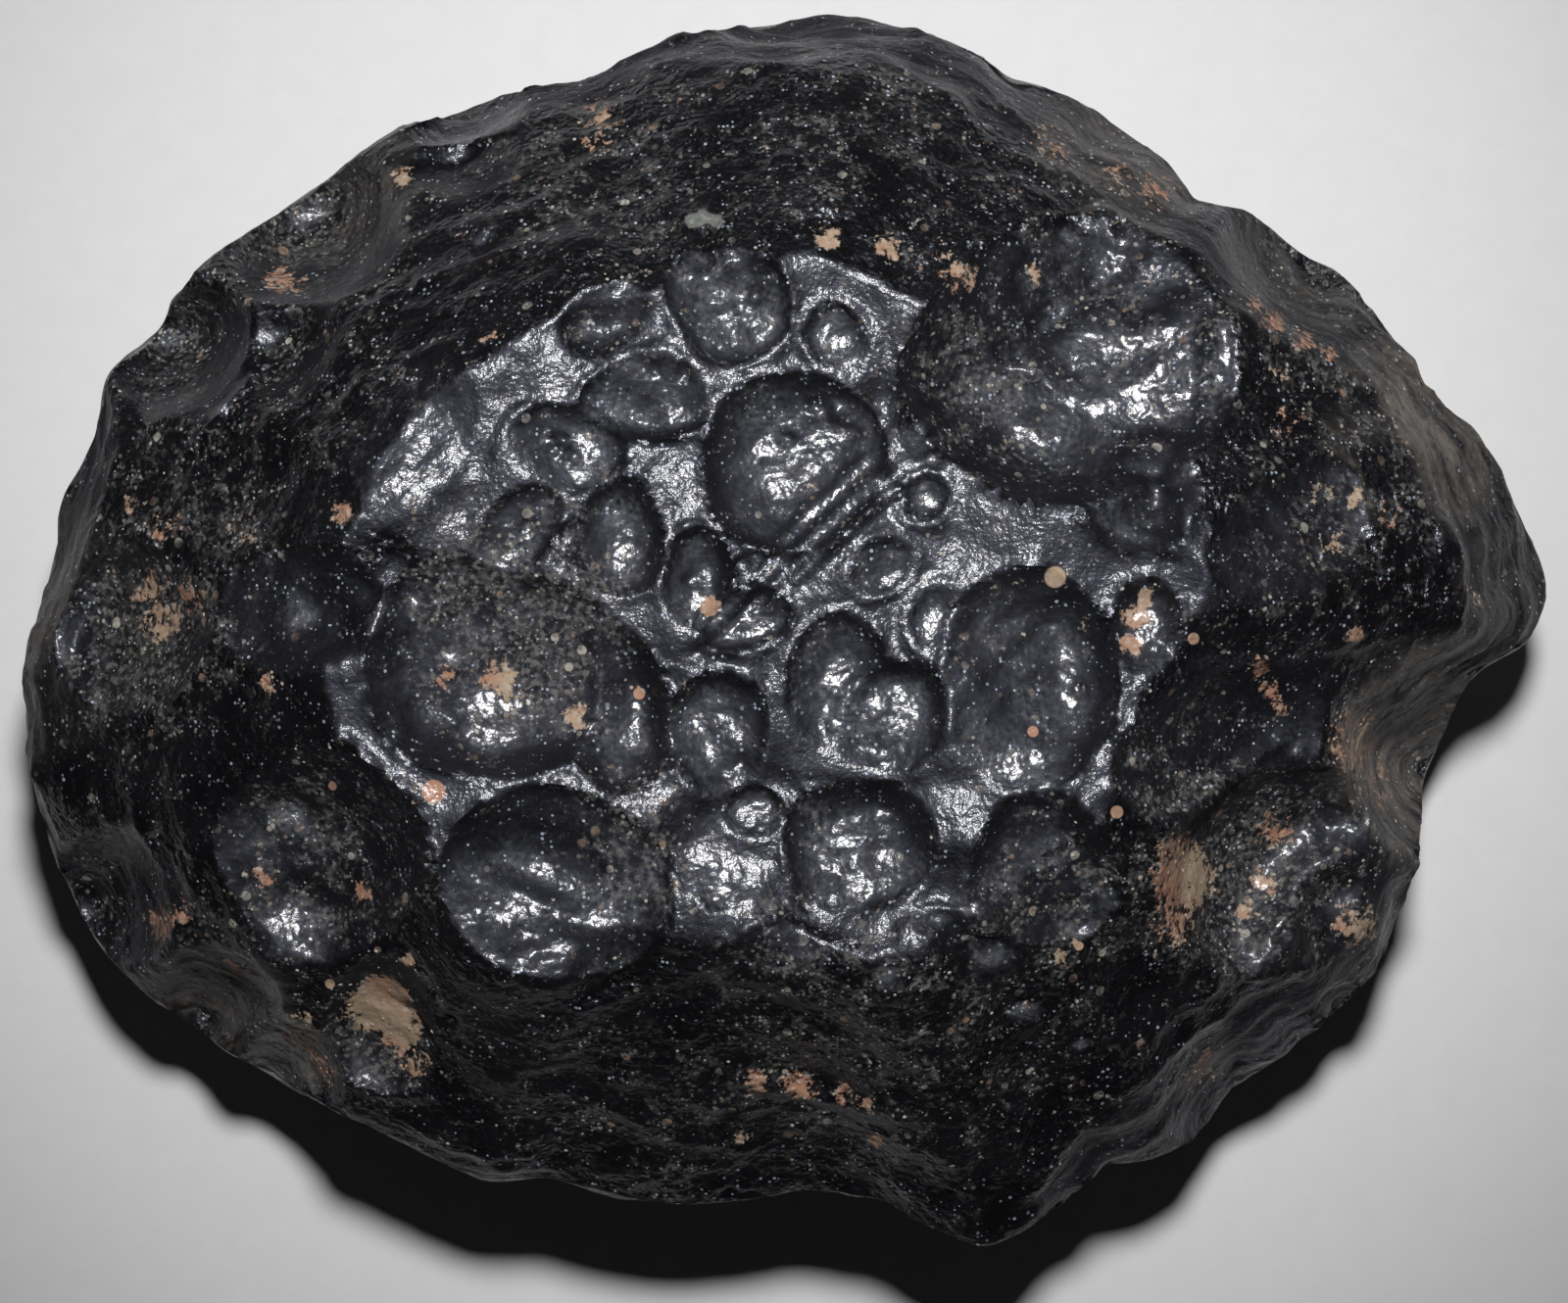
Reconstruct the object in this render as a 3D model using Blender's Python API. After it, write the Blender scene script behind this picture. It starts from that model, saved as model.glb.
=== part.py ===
"""Tektite: a lump of black natural glass about 50 mm long, pitted on its upper face.

The body is one solid. It is a low mound with a sharp, wavy rim. A steep wall of changing width and
several scoops cut down through the rim, round pits are sunk into the crown, and a gently pitted belly
ends in a small worn flat that the body rests on.
Lengths in the tables are millimetres. The origin is the middle of the footprint, on the resting flat.
"""

import math

import bmesh
import bpy
import numpy as np
from mathutils import Vector, noise

MM = 0.001

# Driving dimensions, mm
CROWN_HEIGHT = 20.8
RIM_HEIGHT = 12.4
RIM_SWING = 0.9
RIM_WAVE = (3, 0.6)
RIM_WAVE_FADE = (2, -0.4)
APEX_X = -1.6
APEX_Y = 1.2
PLATEAU_SHARE = 0.56
SHOULDER_POWER = 1.1
PLATEAU_DOMING = 0.5
BELLY_SQUARENESS = 2.5
BELLY_OVERSINK = 1.045
UNDERCUT_FROM = 0.8
UNDERCUT_POWER = 1.5
PIT_FLATNESS = 1.25
PIT_DEPTH_SHARE = 0.70
PIT_TIP = 0.22
PIT_FADE_AT_RIM = 14
RIM_THINNEST = 0.25
SCOOP_ROUNDING = 1.1
WALL_STEEPNESS = 2.2
WALL_ROUNDING = 0.5
FAR_ABOVE = 60
SWELL_HEIGHT = 0.6
SWELL_LENGTH = 6.0
SWELL_SEED = 4.0
SWELL_FADE_POWER = 4
BELLY_FADE = 9
STRAY = 0.5
STRAY_LENGTH = 3.2
FLAT_SNAP = 0.03

SPHERE_STEPS = 7
RIM_STEPS = 720
RIM_ROUNDING_PASSES = 3
TARGET_TRIANGLES = 9400
CREASE_ANGLE = math.radians(38)

# The rim seen from above, counter-clockwise from the tip of the beak on the +X side.
OUTLINE = [
    (24.9, 1.1), (24.9, 1.7), (24.4, 2.9), (22.6, 6.4), (20.9, 7.7), (19.0, 10.7), (18.2, 11.6),
    (17.1, 12.1), (15.0, 13.6), (13.3, 13.8), (12.3, 15.3), (10.1, 16.9), (7.2, 18.0), (6.3, 18.7),
    (3.7, 19.7), (2.8, 20.0), (1.2, 20.0), (-3.3, 19.2), (-6.5, 17.8), (-9.2, 17.5), (-16.0, 13.9),
    (-18.6, 12.1), (-20.0, 10.7), (-20.6, 9.5), (-22.1, 8.3), (-22.5, 6.4), (-24.1, 2.2), (-24.4, 0.5),
    (-25.0, -1.6), (-24.9, -3.7), (-23.3, -9.4), (-22.7, -10.4), (-21.9, -11.2), (-19.2, -13.4),
    (-15.9, -15.3), (-13.5, -16.2), (-10.0, -18.0), (-7.7, -17.9), (-3.9, -18.8), (0.5, -18.3),
    (1.8, -18.4), (3.1, -18.6), (4.0, -19.1), (6.3, -20.0), (8.8, -19.0), (10.3, -17.5), (11.4, -17.5),
    (13.2, -16.9), (14.7, -15.1), (16.5, -14.0), (16.8, -13.4), (18.5, -12.4), (20.4, -8.5), (21.1, -5.0),
    (22.2, -2.0), (22.8, -1.2), (24.1, -0.7), (24.6, 0.0),
]

# Round pits of the crown: x, y, half-width, half-length, turn in degrees, depth.
# Where two meet, the deeper one wins, which leaves a sharp ridge between them.
PITS = [
    (-9.4, -1.2, 4.3, 3.7, -8, 1.50),
    (-5.6, -2.4, 1.9, 2.8, 18, 1.23),
    (-7.3, -8.0, 3.8, 3.1, -12, 1.41),
    (-2.1, -3.4, 1.9, 1.9, 0, 0.70),
    (2.4, -7.1, 2.5, 2.2, 0, 0.88),
    (1.7, -1.7, 1.7, 2.2, 0, 0.53),
    (3.3, -2.9, 1.9, 2.0, 20, 0.70),
    (-5.2, 2.8, 1.5, 1.9, 10, 0.97),
    (-2.7, 1.7, 1.1, 1.8, -10, 0.62),
    (-1.3, 0.2, 1.3, 1.2, 0, 0.44),
    (0.3, 5.4, 2.8, 3.0, 0, 1.23),
    (-7.2, 5.6, 2.1, 1.7, 0, 0.44),
    (-4.4, 7.2, 2.4, 1.4, -8, 0.53),
    (-2.0, 10.3, 2.1, 1.9, 0, 0.70),
    (1.6, 9.3, 1.3, 1.0, -30, 0.26),
    (9.0, 8.3, 5.3, 4.8, 0, 4.00),
    (7.6, -1.7, 2.8, 3.7, 0, 1.50),
    (11.4, 0.0, 1.2, 1.7, -15, 0.53),
    (8.1, -7.7, 2.4, 2.6, 0, 1.50),
    (15.6, -7.8, 4.0, 3.5, 25, 4.20),
    (13.9, -3.6, 3.8, 2.3, 20, 2.00),
    (-14.7, -7.2, 3.4, 3.4, 20, 2.60),
    (-20.9, -0.2, 2.7, 2.9, 0, 2.10),
    (-15.6, 0.5, 2.5, 2.2, 0, 1.40),
    (-13.2, -12.8, 1.9, 2.4, 10, 1.80),
    (11.2, 3.4, 1.8, 1.0, -10, 0.79),
    (16.2, 3.0, 2.9, 2.0, 40, 0.79),
    (-12.4, 5.6, 3.3, 1.8, 50, 0.44),
]

# Broad swellings of the crown: x, y, reach, height.
BULGES = [
    (-8.6, -10.8, 4.6, 1.10),
    (-13.6, 4.4, 4.0, 0.50),
    (0.6, -11.4, 3.4, 0.35),
    (12.8, 10.4, 5.0, 1.70),
    (17.6, -9.4, 3.4, 1.50),
]

# Small pits lying inside larger ones, added to their depth: x, y, radius, depth.
NESTED_PITS = [
    (-8.9, -1.9, 1.5, 0.45),
    (-11.0, -2.9, 1.2, 0.3),
    (-4.9, -2.1, 1.2, 0.35),
    (1.6, -6.6, 0.9, 0.25),
    (-15.2, 0.3, 1.1, 0.4),
    (10.8, 9.4, 2.1, 0.5),
    (6.0, 8.6, 1.5, 0.4),
    (-0.6, 6.4, 0.9, 0.25),
    (1.3, 4.4, 1.0, 0.3),
    (3.5, -3.2, 1.1, 0.3),
    (-6.2, -7.2, 1.3, 0.3),
    (-14.0, -8.3, 1.3, 0.3),
    (-21.2, -1.2, 1.0, 0.3),
]

# Scoops through the rim: x, y, half-width, half-length, turn in degrees, floor height, lip height.
# Most are centred on or outside the rim, so they open outwards as steep, hollow side walls.
SCOOPS = [
    (-15.7, 13.6, 4.1, 3.1, 31, 9.6, 15.6),
    (-20.2, 9.4, 2.9, 2.9, 0, 9.6, 14.8),
    (-16.7, 9.4, 2.0, 1.7, 30, 14.6, 16.4),
    (-10.6, 15.5, 2.1, 1.3, 20, 12.8, 14.8),
    (-10.0, 17.7, 3.3, 1.8, 25, 7.0, 13.6),
    (-7.4, 18.6, 3.2, 1.6, 15, 7.0, 13.2),
    (1.8, 21.0, 6.8, 2.5, 0, 6.0, 13.0),
    (11.4, 17.7, 4.2, 2.9, -33, 7.0, 14.2),
    (17.4, 12.4, 4.2, 3.1, -45, 8.6, 15.0),
    (22.7, 7.6, 3.2, 2.0, -50, 7.4, 13.4),
    (26.9, 2.2, 4.2, 3.6, 0, 6.6, 12.6),
    (21.9, -4.8, 3.7, 3.7, 0, 5.0, 13.8),
    (20.9, -10.2, 2.7, 2.8, 0, 6.4, 13.0),
    (15.5, -16.3, 3.8, 3.7, 0, 6.0, 14.4),
    (18.4, -12.8, 1.5, 1.5, 0, 6.8, 11.0),
    (9.6, -19.6, 1.8, 1.8, 0, 8.4, 12.8),
    (-16.9, -15.2, 2.6, 2.6, 0, 7.4, 13.0),
    (-19.4, -13.0, 3.0, 2.6, 0, 7.4, 13.2),
    (-23.0, -9.3, 3.1, 3.0, 0, 7.8, 13.2),
    (-26.4, -3.6, 2.3, 3.8, 0, 6.0, 12.8),
    (-26.1, 3.6, 8.4, 3.1, 72, 5.4, 12.8),
]

# Steep outer wall under the crown's edge: heading in degrees, width seen from above.
WALL_WIDTHS = [
    (0, 2.4), (3, 2.6), (10, 2.6), (17, 1.8), (21, 1.0), (27, 2.4), (35, 2.6), (40, 1.6), (45, 0.8),
    (51, 2.0), (61, 2.4), (71, 1.5), (85, 1.6), (100, 0.8), (118, 1.0), (126, 0.4), (155, 0.3), (161, 0.4),
    (166, 1.2), (175, 1.4), (184, 0.9), (190, 1.1), (196, 1.7), (202, 2.2), (210, 2.4), (219, 2.5),
    (225, 1.0), (228, 0.4), (235, 0.5), (242, 0.6), (250, 0.2), (262, 0.0), (285, 0.0), (292, 0.3),
    (299, 1.0), (309, 2.6), (319, 3.2), (326, 2.6), (334, 2.2), (340, 1.7), (346, 2.8), (351, 3.6),
    (356, 2.3),
]

# Shallow hollows of the belly: heading and dip in degrees, radius, depth.
BELLY_HOLLOWS = [
    (20, -20, 5.2, 1.3),
    (58, -28, 4.6, 1.1),
    (95, -18, 4.2, 1.0),
    (128, -30, 5.4, 1.4),
    (165, -20, 4.4, 1.0),
    (200, -30, 5.8, 1.5),
    (236, -18, 4.2, 1.0),
    (262, -32, 4.6, 1.2),
    (298, -20, 4.8, 1.2),
    (330, -30, 5.0, 1.3),
    (352, -14, 3.2, 0.8),
    (35, -44, 3.6, 0.8),
    (150, -46, 3.8, 0.9),
    (285, -46, 3.4, 0.8),
]


def remove_everything():
    for thing in list(bpy.data.objects):
        bpy.data.objects.remove(thing, do_unlink=True)


def rim_table():
    """Distance of the rim from the origin at even headings, corners slightly rounded."""
    points = np.array(OUTLINE)
    heading = np.unwrap(np.arctan2(points[:, 1], points[:, 0]))
    reach = np.hypot(points[:, 0], points[:, 1])
    heading = np.append(heading, heading[0] + 2 * math.pi)
    reach = np.append(reach, reach[0])
    even = heading[0] + np.linspace(0, 2 * math.pi, RIM_STEPS, endpoint=False)
    table = np.interp(even, heading, reach)
    for _ in range(RIM_ROUNDING_PASSES):
        table = 0.5 * table + 0.25 * (np.roll(table, 1) + np.roll(table, -1))
    return even, table


def rim_distance(heading, rim):
    even, table = rim
    return np.interp(heading, even, table, period=2 * math.pi)


def nearness(x, y, centre_x, centre_y, half_width, half_length, turn):
    """Squared distance from an oval's centre: 0 in the middle and 1 on its edge."""
    angle = math.radians(turn)
    along = (x - centre_x) * math.cos(angle) + (y - centre_y) * math.sin(angle)
    across = (y - centre_y) * math.cos(angle) - (x - centre_x) * math.sin(angle)
    return (along / half_width) ** 2 + (across / half_length) ** 2


def crown_profile(share, rim_z):
    """Height of the plain crown, from its flat top over the shoulder down to the rim."""
    fall = np.clip((share - PLATEAU_SHARE) / (1 - PLATEAU_SHARE), 0, 1) ** SHOULDER_POWER
    shoulder = CROWN_HEIGHT - PLATEAU_DOMING * share**2
    return shoulder + (rim_z - shoulder) * fall


def wall_height(heading, reach, inward):
    """Height of the steep outer wall at a distance inward from the rim."""
    turns, widths = np.array(WALL_WIDTHS).T
    width = np.interp(np.degrees(heading), turns, widths, period=360)
    return crown_profile(1 - width / reach, RIM_HEIGHT) - WALL_STEEPNESS * (width - inward)


def rounded_minimum(first, second, rounding):
    """The lower of two heights, with the crease between them rounded off."""
    blend = np.clip(0.5 + 0.5 * (second - first) / rounding, 0, 1)
    return second + (first - second) * blend - rounding * blend * (1 - blend)


def bulge_height(x, y):
    height = np.zeros_like(x)
    for centre_x, centre_y, reach, lift in BULGES:
        near = nearness(x, y, centre_x, centre_y, reach, reach, 0)
        height += lift * np.clip(1 - near, 0, 1) ** 2
    return height


def swell(x, y, z):
    """Slow, uneven rise and fall of the molten surface."""
    return np.array([
        noise.noise(Vector((px / SWELL_LENGTH, py / SWELL_LENGTH, pz / SWELL_LENGTH + SWELL_SEED)))
        for px, py, pz in zip(x, y, z)
    ])


def strayed(x, y):
    """Pull the ovals of the tables slightly out of true, as drawn glass would be."""
    places = [Vector((px / STRAY_LENGTH, py / STRAY_LENGTH, 0)) for px, py in zip(x, y)]
    bend = np.array([noise.noise_vector(place) for place in places])
    return x + STRAY * bend[:, 0], y + STRAY * bend[:, 1]


def scoop_floor(x, y):
    """Height of the lowest scoop over each point, very high where there is none."""
    lowest = np.full_like(x, FAR_ABOVE)
    for centre_x, centre_y, half_width, half_length, turn, floor, lip in SCOOPS:
        near = nearness(x, y, centre_x, centre_y, half_width, half_length, turn)
        floor_here = np.minimum(floor + (lip - floor) * near, FAR_ABOVE)
        lowest = rounded_minimum(lowest, floor_here, SCOOP_ROUNDING)
    return lowest


def pit_depth(x, y):
    """Depth of the pits; each is a little deeper toward +Y than toward -Y."""
    deepest = np.zeros_like(x)
    for centre_x, centre_y, half_width, half_length, turn, depth in PITS:
        near = nearness(x, y, centre_x, centre_y, half_width, half_length, turn)
        tip = 1 + PIT_TIP * np.clip((y - centre_y) / half_length, -1, 1)
        deepest = np.maximum(deepest, depth * PIT_DEPTH_SHARE * (1 - near**PIT_FLATNESS) * tip)
    for centre_x, centre_y, radius, depth in NESTED_PITS:
        near = nearness(x, y, centre_x, centre_y, radius, radius, 0)
        deepest = deepest + depth * np.clip(1 - near, 0, 1)
    return deepest


def shape_body(directions):
    """Place a point of the tektite for each unit direction; the equator becomes the rim."""
    rim = rim_table()
    heading = np.arctan2(directions[:, 1], directions[:, 0])
    rise = directions[:, 2]
    share = np.sqrt(np.clip(1 - rise**2, 0, 1))
    reach = rim_distance(heading, rim)
    rim_x = reach * np.cos(heading)
    rim_y = reach * np.sin(heading)
    x = APEX_X * (1 - share) + rim_x * share
    y = APEX_Y * (1 - share) + rim_y * share

    waves, wave_start = RIM_WAVE
    fades, fade_start = RIM_WAVE_FADE
    rim_z = RIM_HEIGHT + RIM_SWING * np.sin(heading * waves + wave_start) * np.cos(heading * fades + fade_start)
    lowered_rim = np.minimum(rim_z, wall_height(heading, reach, 0))
    lowered_rim = rounded_minimum(lowered_rim, scoop_floor(*strayed(rim_x, rim_y)), SCOOP_ROUNDING)
    off_rim = np.clip((1 - share) * PIT_FADE_AT_RIM, 0, 1)
    crown = crown_profile(share, rim_z)
    crown = crown + SWELL_HEIGHT * swell(x, y, crown) * (1 - share**SWELL_FADE_POWER)
    crown = crown + bulge_height(x, y) * off_rim
    crown = rounded_minimum(crown, wall_height(heading, reach, (1 - share) * reach), WALL_ROUNDING)
    table_x, table_y = strayed(x, y)
    crown = rounded_minimum(crown, scoop_floor(table_x, table_y), SCOOP_ROUNDING)
    crown = crown - pit_depth(table_x, table_y) * off_rim
    belly = rim_z * (1 - BELLY_OVERSINK * (1 - share**BELLY_SQUARENESS) ** 0.5)
    near_rim = np.clip((share - UNDERCUT_FROM) / (1 - UNDERCUT_FROM), 0, 1) ** UNDERCUT_POWER
    belly = belly - (rim_z - lowered_rim) * near_rim
    top_side = rise >= 0
    z = np.where(top_side, np.maximum(crown, belly + RIM_THINNEST * (1 - share)), belly)
    return np.stack([x, y, z], axis=1)


def hollow_belly(points, normals, directions):
    """Press shallow hollows into the belly along its own normals, sharp where they meet."""
    deepest = np.zeros(len(points))
    for heading, dip, radius, depth in BELLY_HOLLOWS:
        aim = np.array([
            math.cos(math.radians(heading)) * math.cos(math.radians(dip)),
            math.sin(math.radians(heading)) * math.cos(math.radians(dip)),
            math.sin(math.radians(dip)),
        ])
        centre = points[np.argmax(directions @ aim)]
        near = ((points - centre) ** 2).sum(axis=1) / radius**2
        deepest = np.maximum(deepest, depth * (1 - near))
    below_rim = np.clip(-directions[:, 2] * BELLY_FADE, 0, 1)
    return points - normals * (deepest * below_rim)[:, None]


def build_body():
    bm = bmesh.new()
    bmesh.ops.create_icosphere(bm, subdivisions=SPHERE_STEPS, radius=1)
    directions = np.array([v.co[:] for v in bm.verts])
    directions /= np.linalg.norm(directions, axis=1)[:, None]
    points = shape_body(directions)
    for vertex, place in zip(bm.verts, points):
        vertex.co = place
    bm.normal_update()
    normals = np.array([v.normal[:] for v in bm.verts])
    points = hollow_belly(points, normals, directions)
    points[:, 2] = np.maximum(points[:, 2], 0)
    for vertex, place in zip(bm.verts, points):
        vertex.co = place * MM
    mesh = bpy.data.meshes.new("tektite")
    bm.to_mesh(mesh)
    bm.free()
    return mesh


def thin_out(body):
    """Keep triangles where the surface bends and drop them where it runs flat."""
    modifier = body.modifiers.new("thin_out", "DECIMATE")
    modifier.ratio = TARGET_TRIANGLES / len(body.data.polygons)
    modifier.use_collapse_triangulate = True


def settle_flat(body):
    """Bake the thinned mesh and bring the last near-level points onto the resting flat."""
    depsgraph = bpy.context.evaluated_depsgraph_get()
    baked = bpy.data.meshes.new_from_object(body.evaluated_get(depsgraph))
    body.modifiers.clear()
    body.data = baked
    baked.name = "tektite"
    for vertex in baked.vertices:
        if vertex.co.z < FLAT_SNAP * MM:
            vertex.co.z = 0
    baked.update()


def glass_material():
    material = bpy.data.materials.new("black_glass")
    material.use_nodes = True
    shader = material.node_tree.nodes["Principled BSDF"]
    shader.inputs["Base Color"].default_value = (0.013, 0.013, 0.015, 1)
    shader.inputs["Roughness"].default_value = 0.32
    shader.inputs["Metallic"].default_value = 0
    return material


def main():
    remove_everything()
    collection = bpy.data.collections.new("tektite")
    bpy.context.scene.collection.children.link(collection)
    body = bpy.data.objects.new("tektite", build_body())
    collection.objects.link(body)
    thin_out(body)
    settle_flat(body)
    body.data.materials.append(glass_material())
    body.data.shade_smooth()
    body.data.set_sharp_from_angle(angle=CREASE_ANGLE)


main()
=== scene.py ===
"""Tektite: the finished look of a pitted lump of black natural glass with dust and dried clay in its pits."""
import math

import bmesh
import bpy
import numpy as np
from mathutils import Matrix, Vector, noise


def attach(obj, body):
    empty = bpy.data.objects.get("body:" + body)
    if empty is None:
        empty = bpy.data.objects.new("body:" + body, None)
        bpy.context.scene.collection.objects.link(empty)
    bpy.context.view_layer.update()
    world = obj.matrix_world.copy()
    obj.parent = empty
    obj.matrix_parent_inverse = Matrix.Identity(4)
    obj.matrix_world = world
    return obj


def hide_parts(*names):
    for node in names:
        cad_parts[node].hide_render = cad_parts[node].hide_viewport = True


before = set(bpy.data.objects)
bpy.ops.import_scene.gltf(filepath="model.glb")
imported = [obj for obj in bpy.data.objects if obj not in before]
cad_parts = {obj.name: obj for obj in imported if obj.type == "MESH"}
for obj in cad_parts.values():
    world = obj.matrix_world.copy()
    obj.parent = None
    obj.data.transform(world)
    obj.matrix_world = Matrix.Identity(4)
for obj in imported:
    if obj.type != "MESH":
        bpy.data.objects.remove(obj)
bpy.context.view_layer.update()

MM = 0.001

# ---------------------------------------------------------------- sizes of the lump, mm
CROWN_HEIGHT = 20.8
RIM_HEIGHT = 12.4
RIM_SWING = 0.9
APEX_X = -1.6
APEX_Y = 1.2
PLATEAU_SHARE = 0.56
SHOULDER_POWER = 1.1
PLATEAU_DOMING = 0.5
BELLY_SQUARENESS = 2.5
BELLY_OVERSINK = 1.045
UNDERCUT_FROM = 0.8
UNDERCUT_POWER = 1.5
PIT_FLATNESS = 1.5
PIT_DEPTH_SHARE = 0.58
SHALLOWEST_TIP = 0.1
PIT_FADE_AT_RIM = 14
PIT_EDGE_LIFT = 0.10
PIT_EDGE_WIDTH = 0.09
PITTED_FROM = 0.15
RIM_THINNEST = 0.25
SCOOP_ROUNDING = 0.8
WALL_STEEPNESS = 2.2
WALL_ROUNDING = 0.5
FAR_ABOVE = 60.0
FACET_FLATNESS = 0.92
SWELL_HEIGHT = 0.6
SWELL_LENGTH = 6.0
SWELL_SEED = 4.0
STRAY = 0.5
STRAY_LENGTH = 3.2

# Lumps all over: height, length.
LUMPS = [(0.060, 1.3), (0.050, 0.7), (0.022, 0.38)]
PIT_LUMP_HEIGHT = 0.060
PIT_LUMP_LENGTH = 0.95
FINE_PIT_LUMP_HEIGHT = 0.012
FINE_PIT_LUMP_LENGTH = 0.42
STRAND_HEIGHT = 0.27
THREAD_HEIGHT = 0.05

SPHERE_STEPS = 8
FLOOR_HALF_WIDTH = 600
BODY_TRIANGLES = 172000
RIM_STEPS = 720
RIM_ROUNDING_PASSES = 3
CREASE_ANGLE = math.radians(50)
CLAY_ABOVE = 7
PALE_ABOVE = 4
PALE_RIM_SHARE = 0.0035
DROPS_ABOVE = 10 * MM

# The rim seen from above, counter-clockwise from the tip of the beak on the +X side.
OUTLINE = [
    (24.9, 1.1), (24.9, 1.7), (24.4, 2.9), (22.6, 6.4), (20.9, 7.7), (19.0, 10.7), (18.2, 11.6),
    (17.1, 12.1), (15.0, 13.6), (13.3, 13.8), (12.3, 15.3), (10.1, 16.9), (7.2, 18.0), (6.3, 18.7),
    (3.7, 19.7), (2.8, 20.0), (1.2, 20.0), (-3.3, 19.2), (-6.5, 17.8), (-9.2, 17.5), (-16.0, 13.9),
    (-18.6, 12.1), (-20.0, 10.7), (-20.6, 9.5), (-22.1, 8.3), (-22.5, 6.4), (-24.1, 2.2), (-24.4, 0.5),
    (-25.0, -1.6), (-24.9, -3.7), (-23.3, -9.4), (-22.7, -10.4), (-21.9, -11.2), (-19.2, -13.4),
    (-15.9, -15.3), (-13.5, -16.2), (-10.0, -18.0), (-7.7, -17.9), (-3.9, -18.8), (0.5, -18.3),
    (1.8, -18.4), (3.1, -18.6), (4.0, -19.1), (6.3, -20.0), (8.8, -19.0), (10.3, -17.5), (11.4, -17.5),
    (13.2, -16.9), (14.7, -15.1), (16.5, -14.0), (16.8, -13.4), (18.5, -12.4), (20.4, -8.5), (21.1, -5.0),
    (22.2, -2.0), (22.8, -1.2), (24.1, -0.7), (24.6, 0.0),
]

# Round pits of the crown: x, y, half-width, half-length, turn in degrees, depth, and how much deeper
# the floor gets toward +X and toward +Y. Those last two columns were fitted by a separate script, so
# that one spot of most floors gleams; 0.0, 0.22 is the plain case that was not fitted.
PITS = [
    (-9.4, -1.2, 4.3, 3.7, -8, 1.5, -0.12, -0.79),
    (-5.6, -2.4, 1.9, 2.8, 18, 1.23, 0.58, -0.29),
    (-7.3, -8.0, 3.8, 3.1, -12, 1.41, -0.35, -0.02),
    (-2.1, -3.4, 1.9, 1.9, 0, 0.7, -0.17, 0.78),
    (2.4, -7.1, 2.5, 2.2, 0, 0.88, 0.08, 0.8),
    (1.7, -1.7, 1.7, 2.2, 0, 0.53, 0.46, 0.65),
    (3.3, -2.9, 1.9, 2.0, 20, 0.7, 0.45, 0.66),
    (-5.2, 2.8, 1.5, 1.9, 10, 0.97, 0.27, 0.26),
    (-2.7, 1.7, 1.1, 1.8, -10, 0.62, 0.44, 0.67),
    (-1.3, 0.2, 1.3, 1.2, 0, 0.44, 0.06, 0.01),
    (0.3, 5.4, 2.8, 3.0, 0, 1.23, -0.39, -0.01),
    (-7.2, 5.6, 2.1, 1.7, 0, 0.44, 0.61, 0.52),
    (-4.4, 7.2, 2.4, 1.4, -8, 0.53, -0.61, -0.51),
    (-2.0, 10.3, 2.1, 1.9, 0, 0.7, -0.12, 0.47),
    (1.6, 9.3, 1.3, 1.0, -30, 0.26, -0.41, 0.69),
    (9.0, 8.3, 5.3, 4.8, 0, 4.0, -0.28, -0.75),
    (7.6, -1.7, 2.8, 3.7, 0, 1.5, 0.61, 0.52),
    (11.4, 0.0, 1.2, 1.7, -15, 0.53, 0.08, 0.8),
    (8.1, -7.7, 2.4, 2.6, 0, 1.5, 0.0, 0.22),
    (15.6, -7.8, 4.0, 3.5, 25, 4.2, -0.67, 0.44),
    (13.9, -3.6, 3.8, 2.3, 20, 2.0, 0.0, 0.22),
    (-14.7, -7.2, 3.4, 3.4, 20, 2.6, 0.45, 0.66),
    (-20.9, -0.2, 2.7, 2.9, 0, 2.1, 0.0, 0.22),
    (-15.6, 0.5, 2.5, 2.2, 0, 1.4, 0.77, -0.2),
    (-13.2, -12.8, 1.9, 2.4, 10, 1.8, 0.0, 0.22),
    (11.2, 3.4, 1.8, 1.0, -10, 0.79, 0.0, 0.22),
    (16.2, 3.0, 2.9, 2.0, 40, 0.79, 0.0, 0.22),
    (-12.4, 5.6, 3.3, 1.8, 50, 0.16, 0.0, 0.22),
    (4.2, 3.9, 0.8, 0.7, 0, 0.24, 0.0, 0.22),
    (2.9, 2.0, 1.3, 0.9, 20, 0.22, 0.0, 0.22),
    (-8.6, 3.0, 1.6, 1.1, 30, 0.34, 0.0, 0.22),
    (4.9, 0.2, 1.0, 1.3, 0, 0.2, 0.0, 0.22),
    (-0.6, -10.4, 1.6, 0.9, 0, 0.2, 0.0, 0.22),
    (-1.0, -5.9, 1.2, 0.9, -20, 0.22, 0.0, 0.22),
    (5.0, -10.0, 1.3, 0.9, 10, 0.2, 0.0, 0.22),
    (-5.9, 9.7, 1.6, 1.0, 20, 0.24, 0.0, 0.22),
]

# Broad swellings of the crown: x, y, reach, height.
BULGES = [
    (-8.6, -10.8, 4.6, 1.10),
    (-13.6, 4.4, 4.0, 0.50),
    (0.6, -11.4, 3.4, 0.35),
    (12.8, 10.4, 5.0, 1.70),
    (17.6, -9.4, 3.4, 1.50),
]

# Small pits lying inside larger ones, added to their depth: x, y, radius, depth.
NESTED_PITS = [
    (-8.9, -1.9, 1.5, 0.15),
    (-11.0, -2.9, 1.2, 0.12),
    (-4.9, -2.1, 1.2, 0.15),
    (1.6, -6.6, 0.9, 0.08),
    (-15.2, 0.3, 1.1, 0.3),
    (10.8, 9.4, 1.8, 0.15),
    (3.5, -3.2, 1.1, 0.12),
    (-14.0, -8.3, 1.3, 0.15),
    (-21.2, -1.2, 1.0, 0.3),
    (11.9, 4.1, 1.5, 0.6),
]

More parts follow.
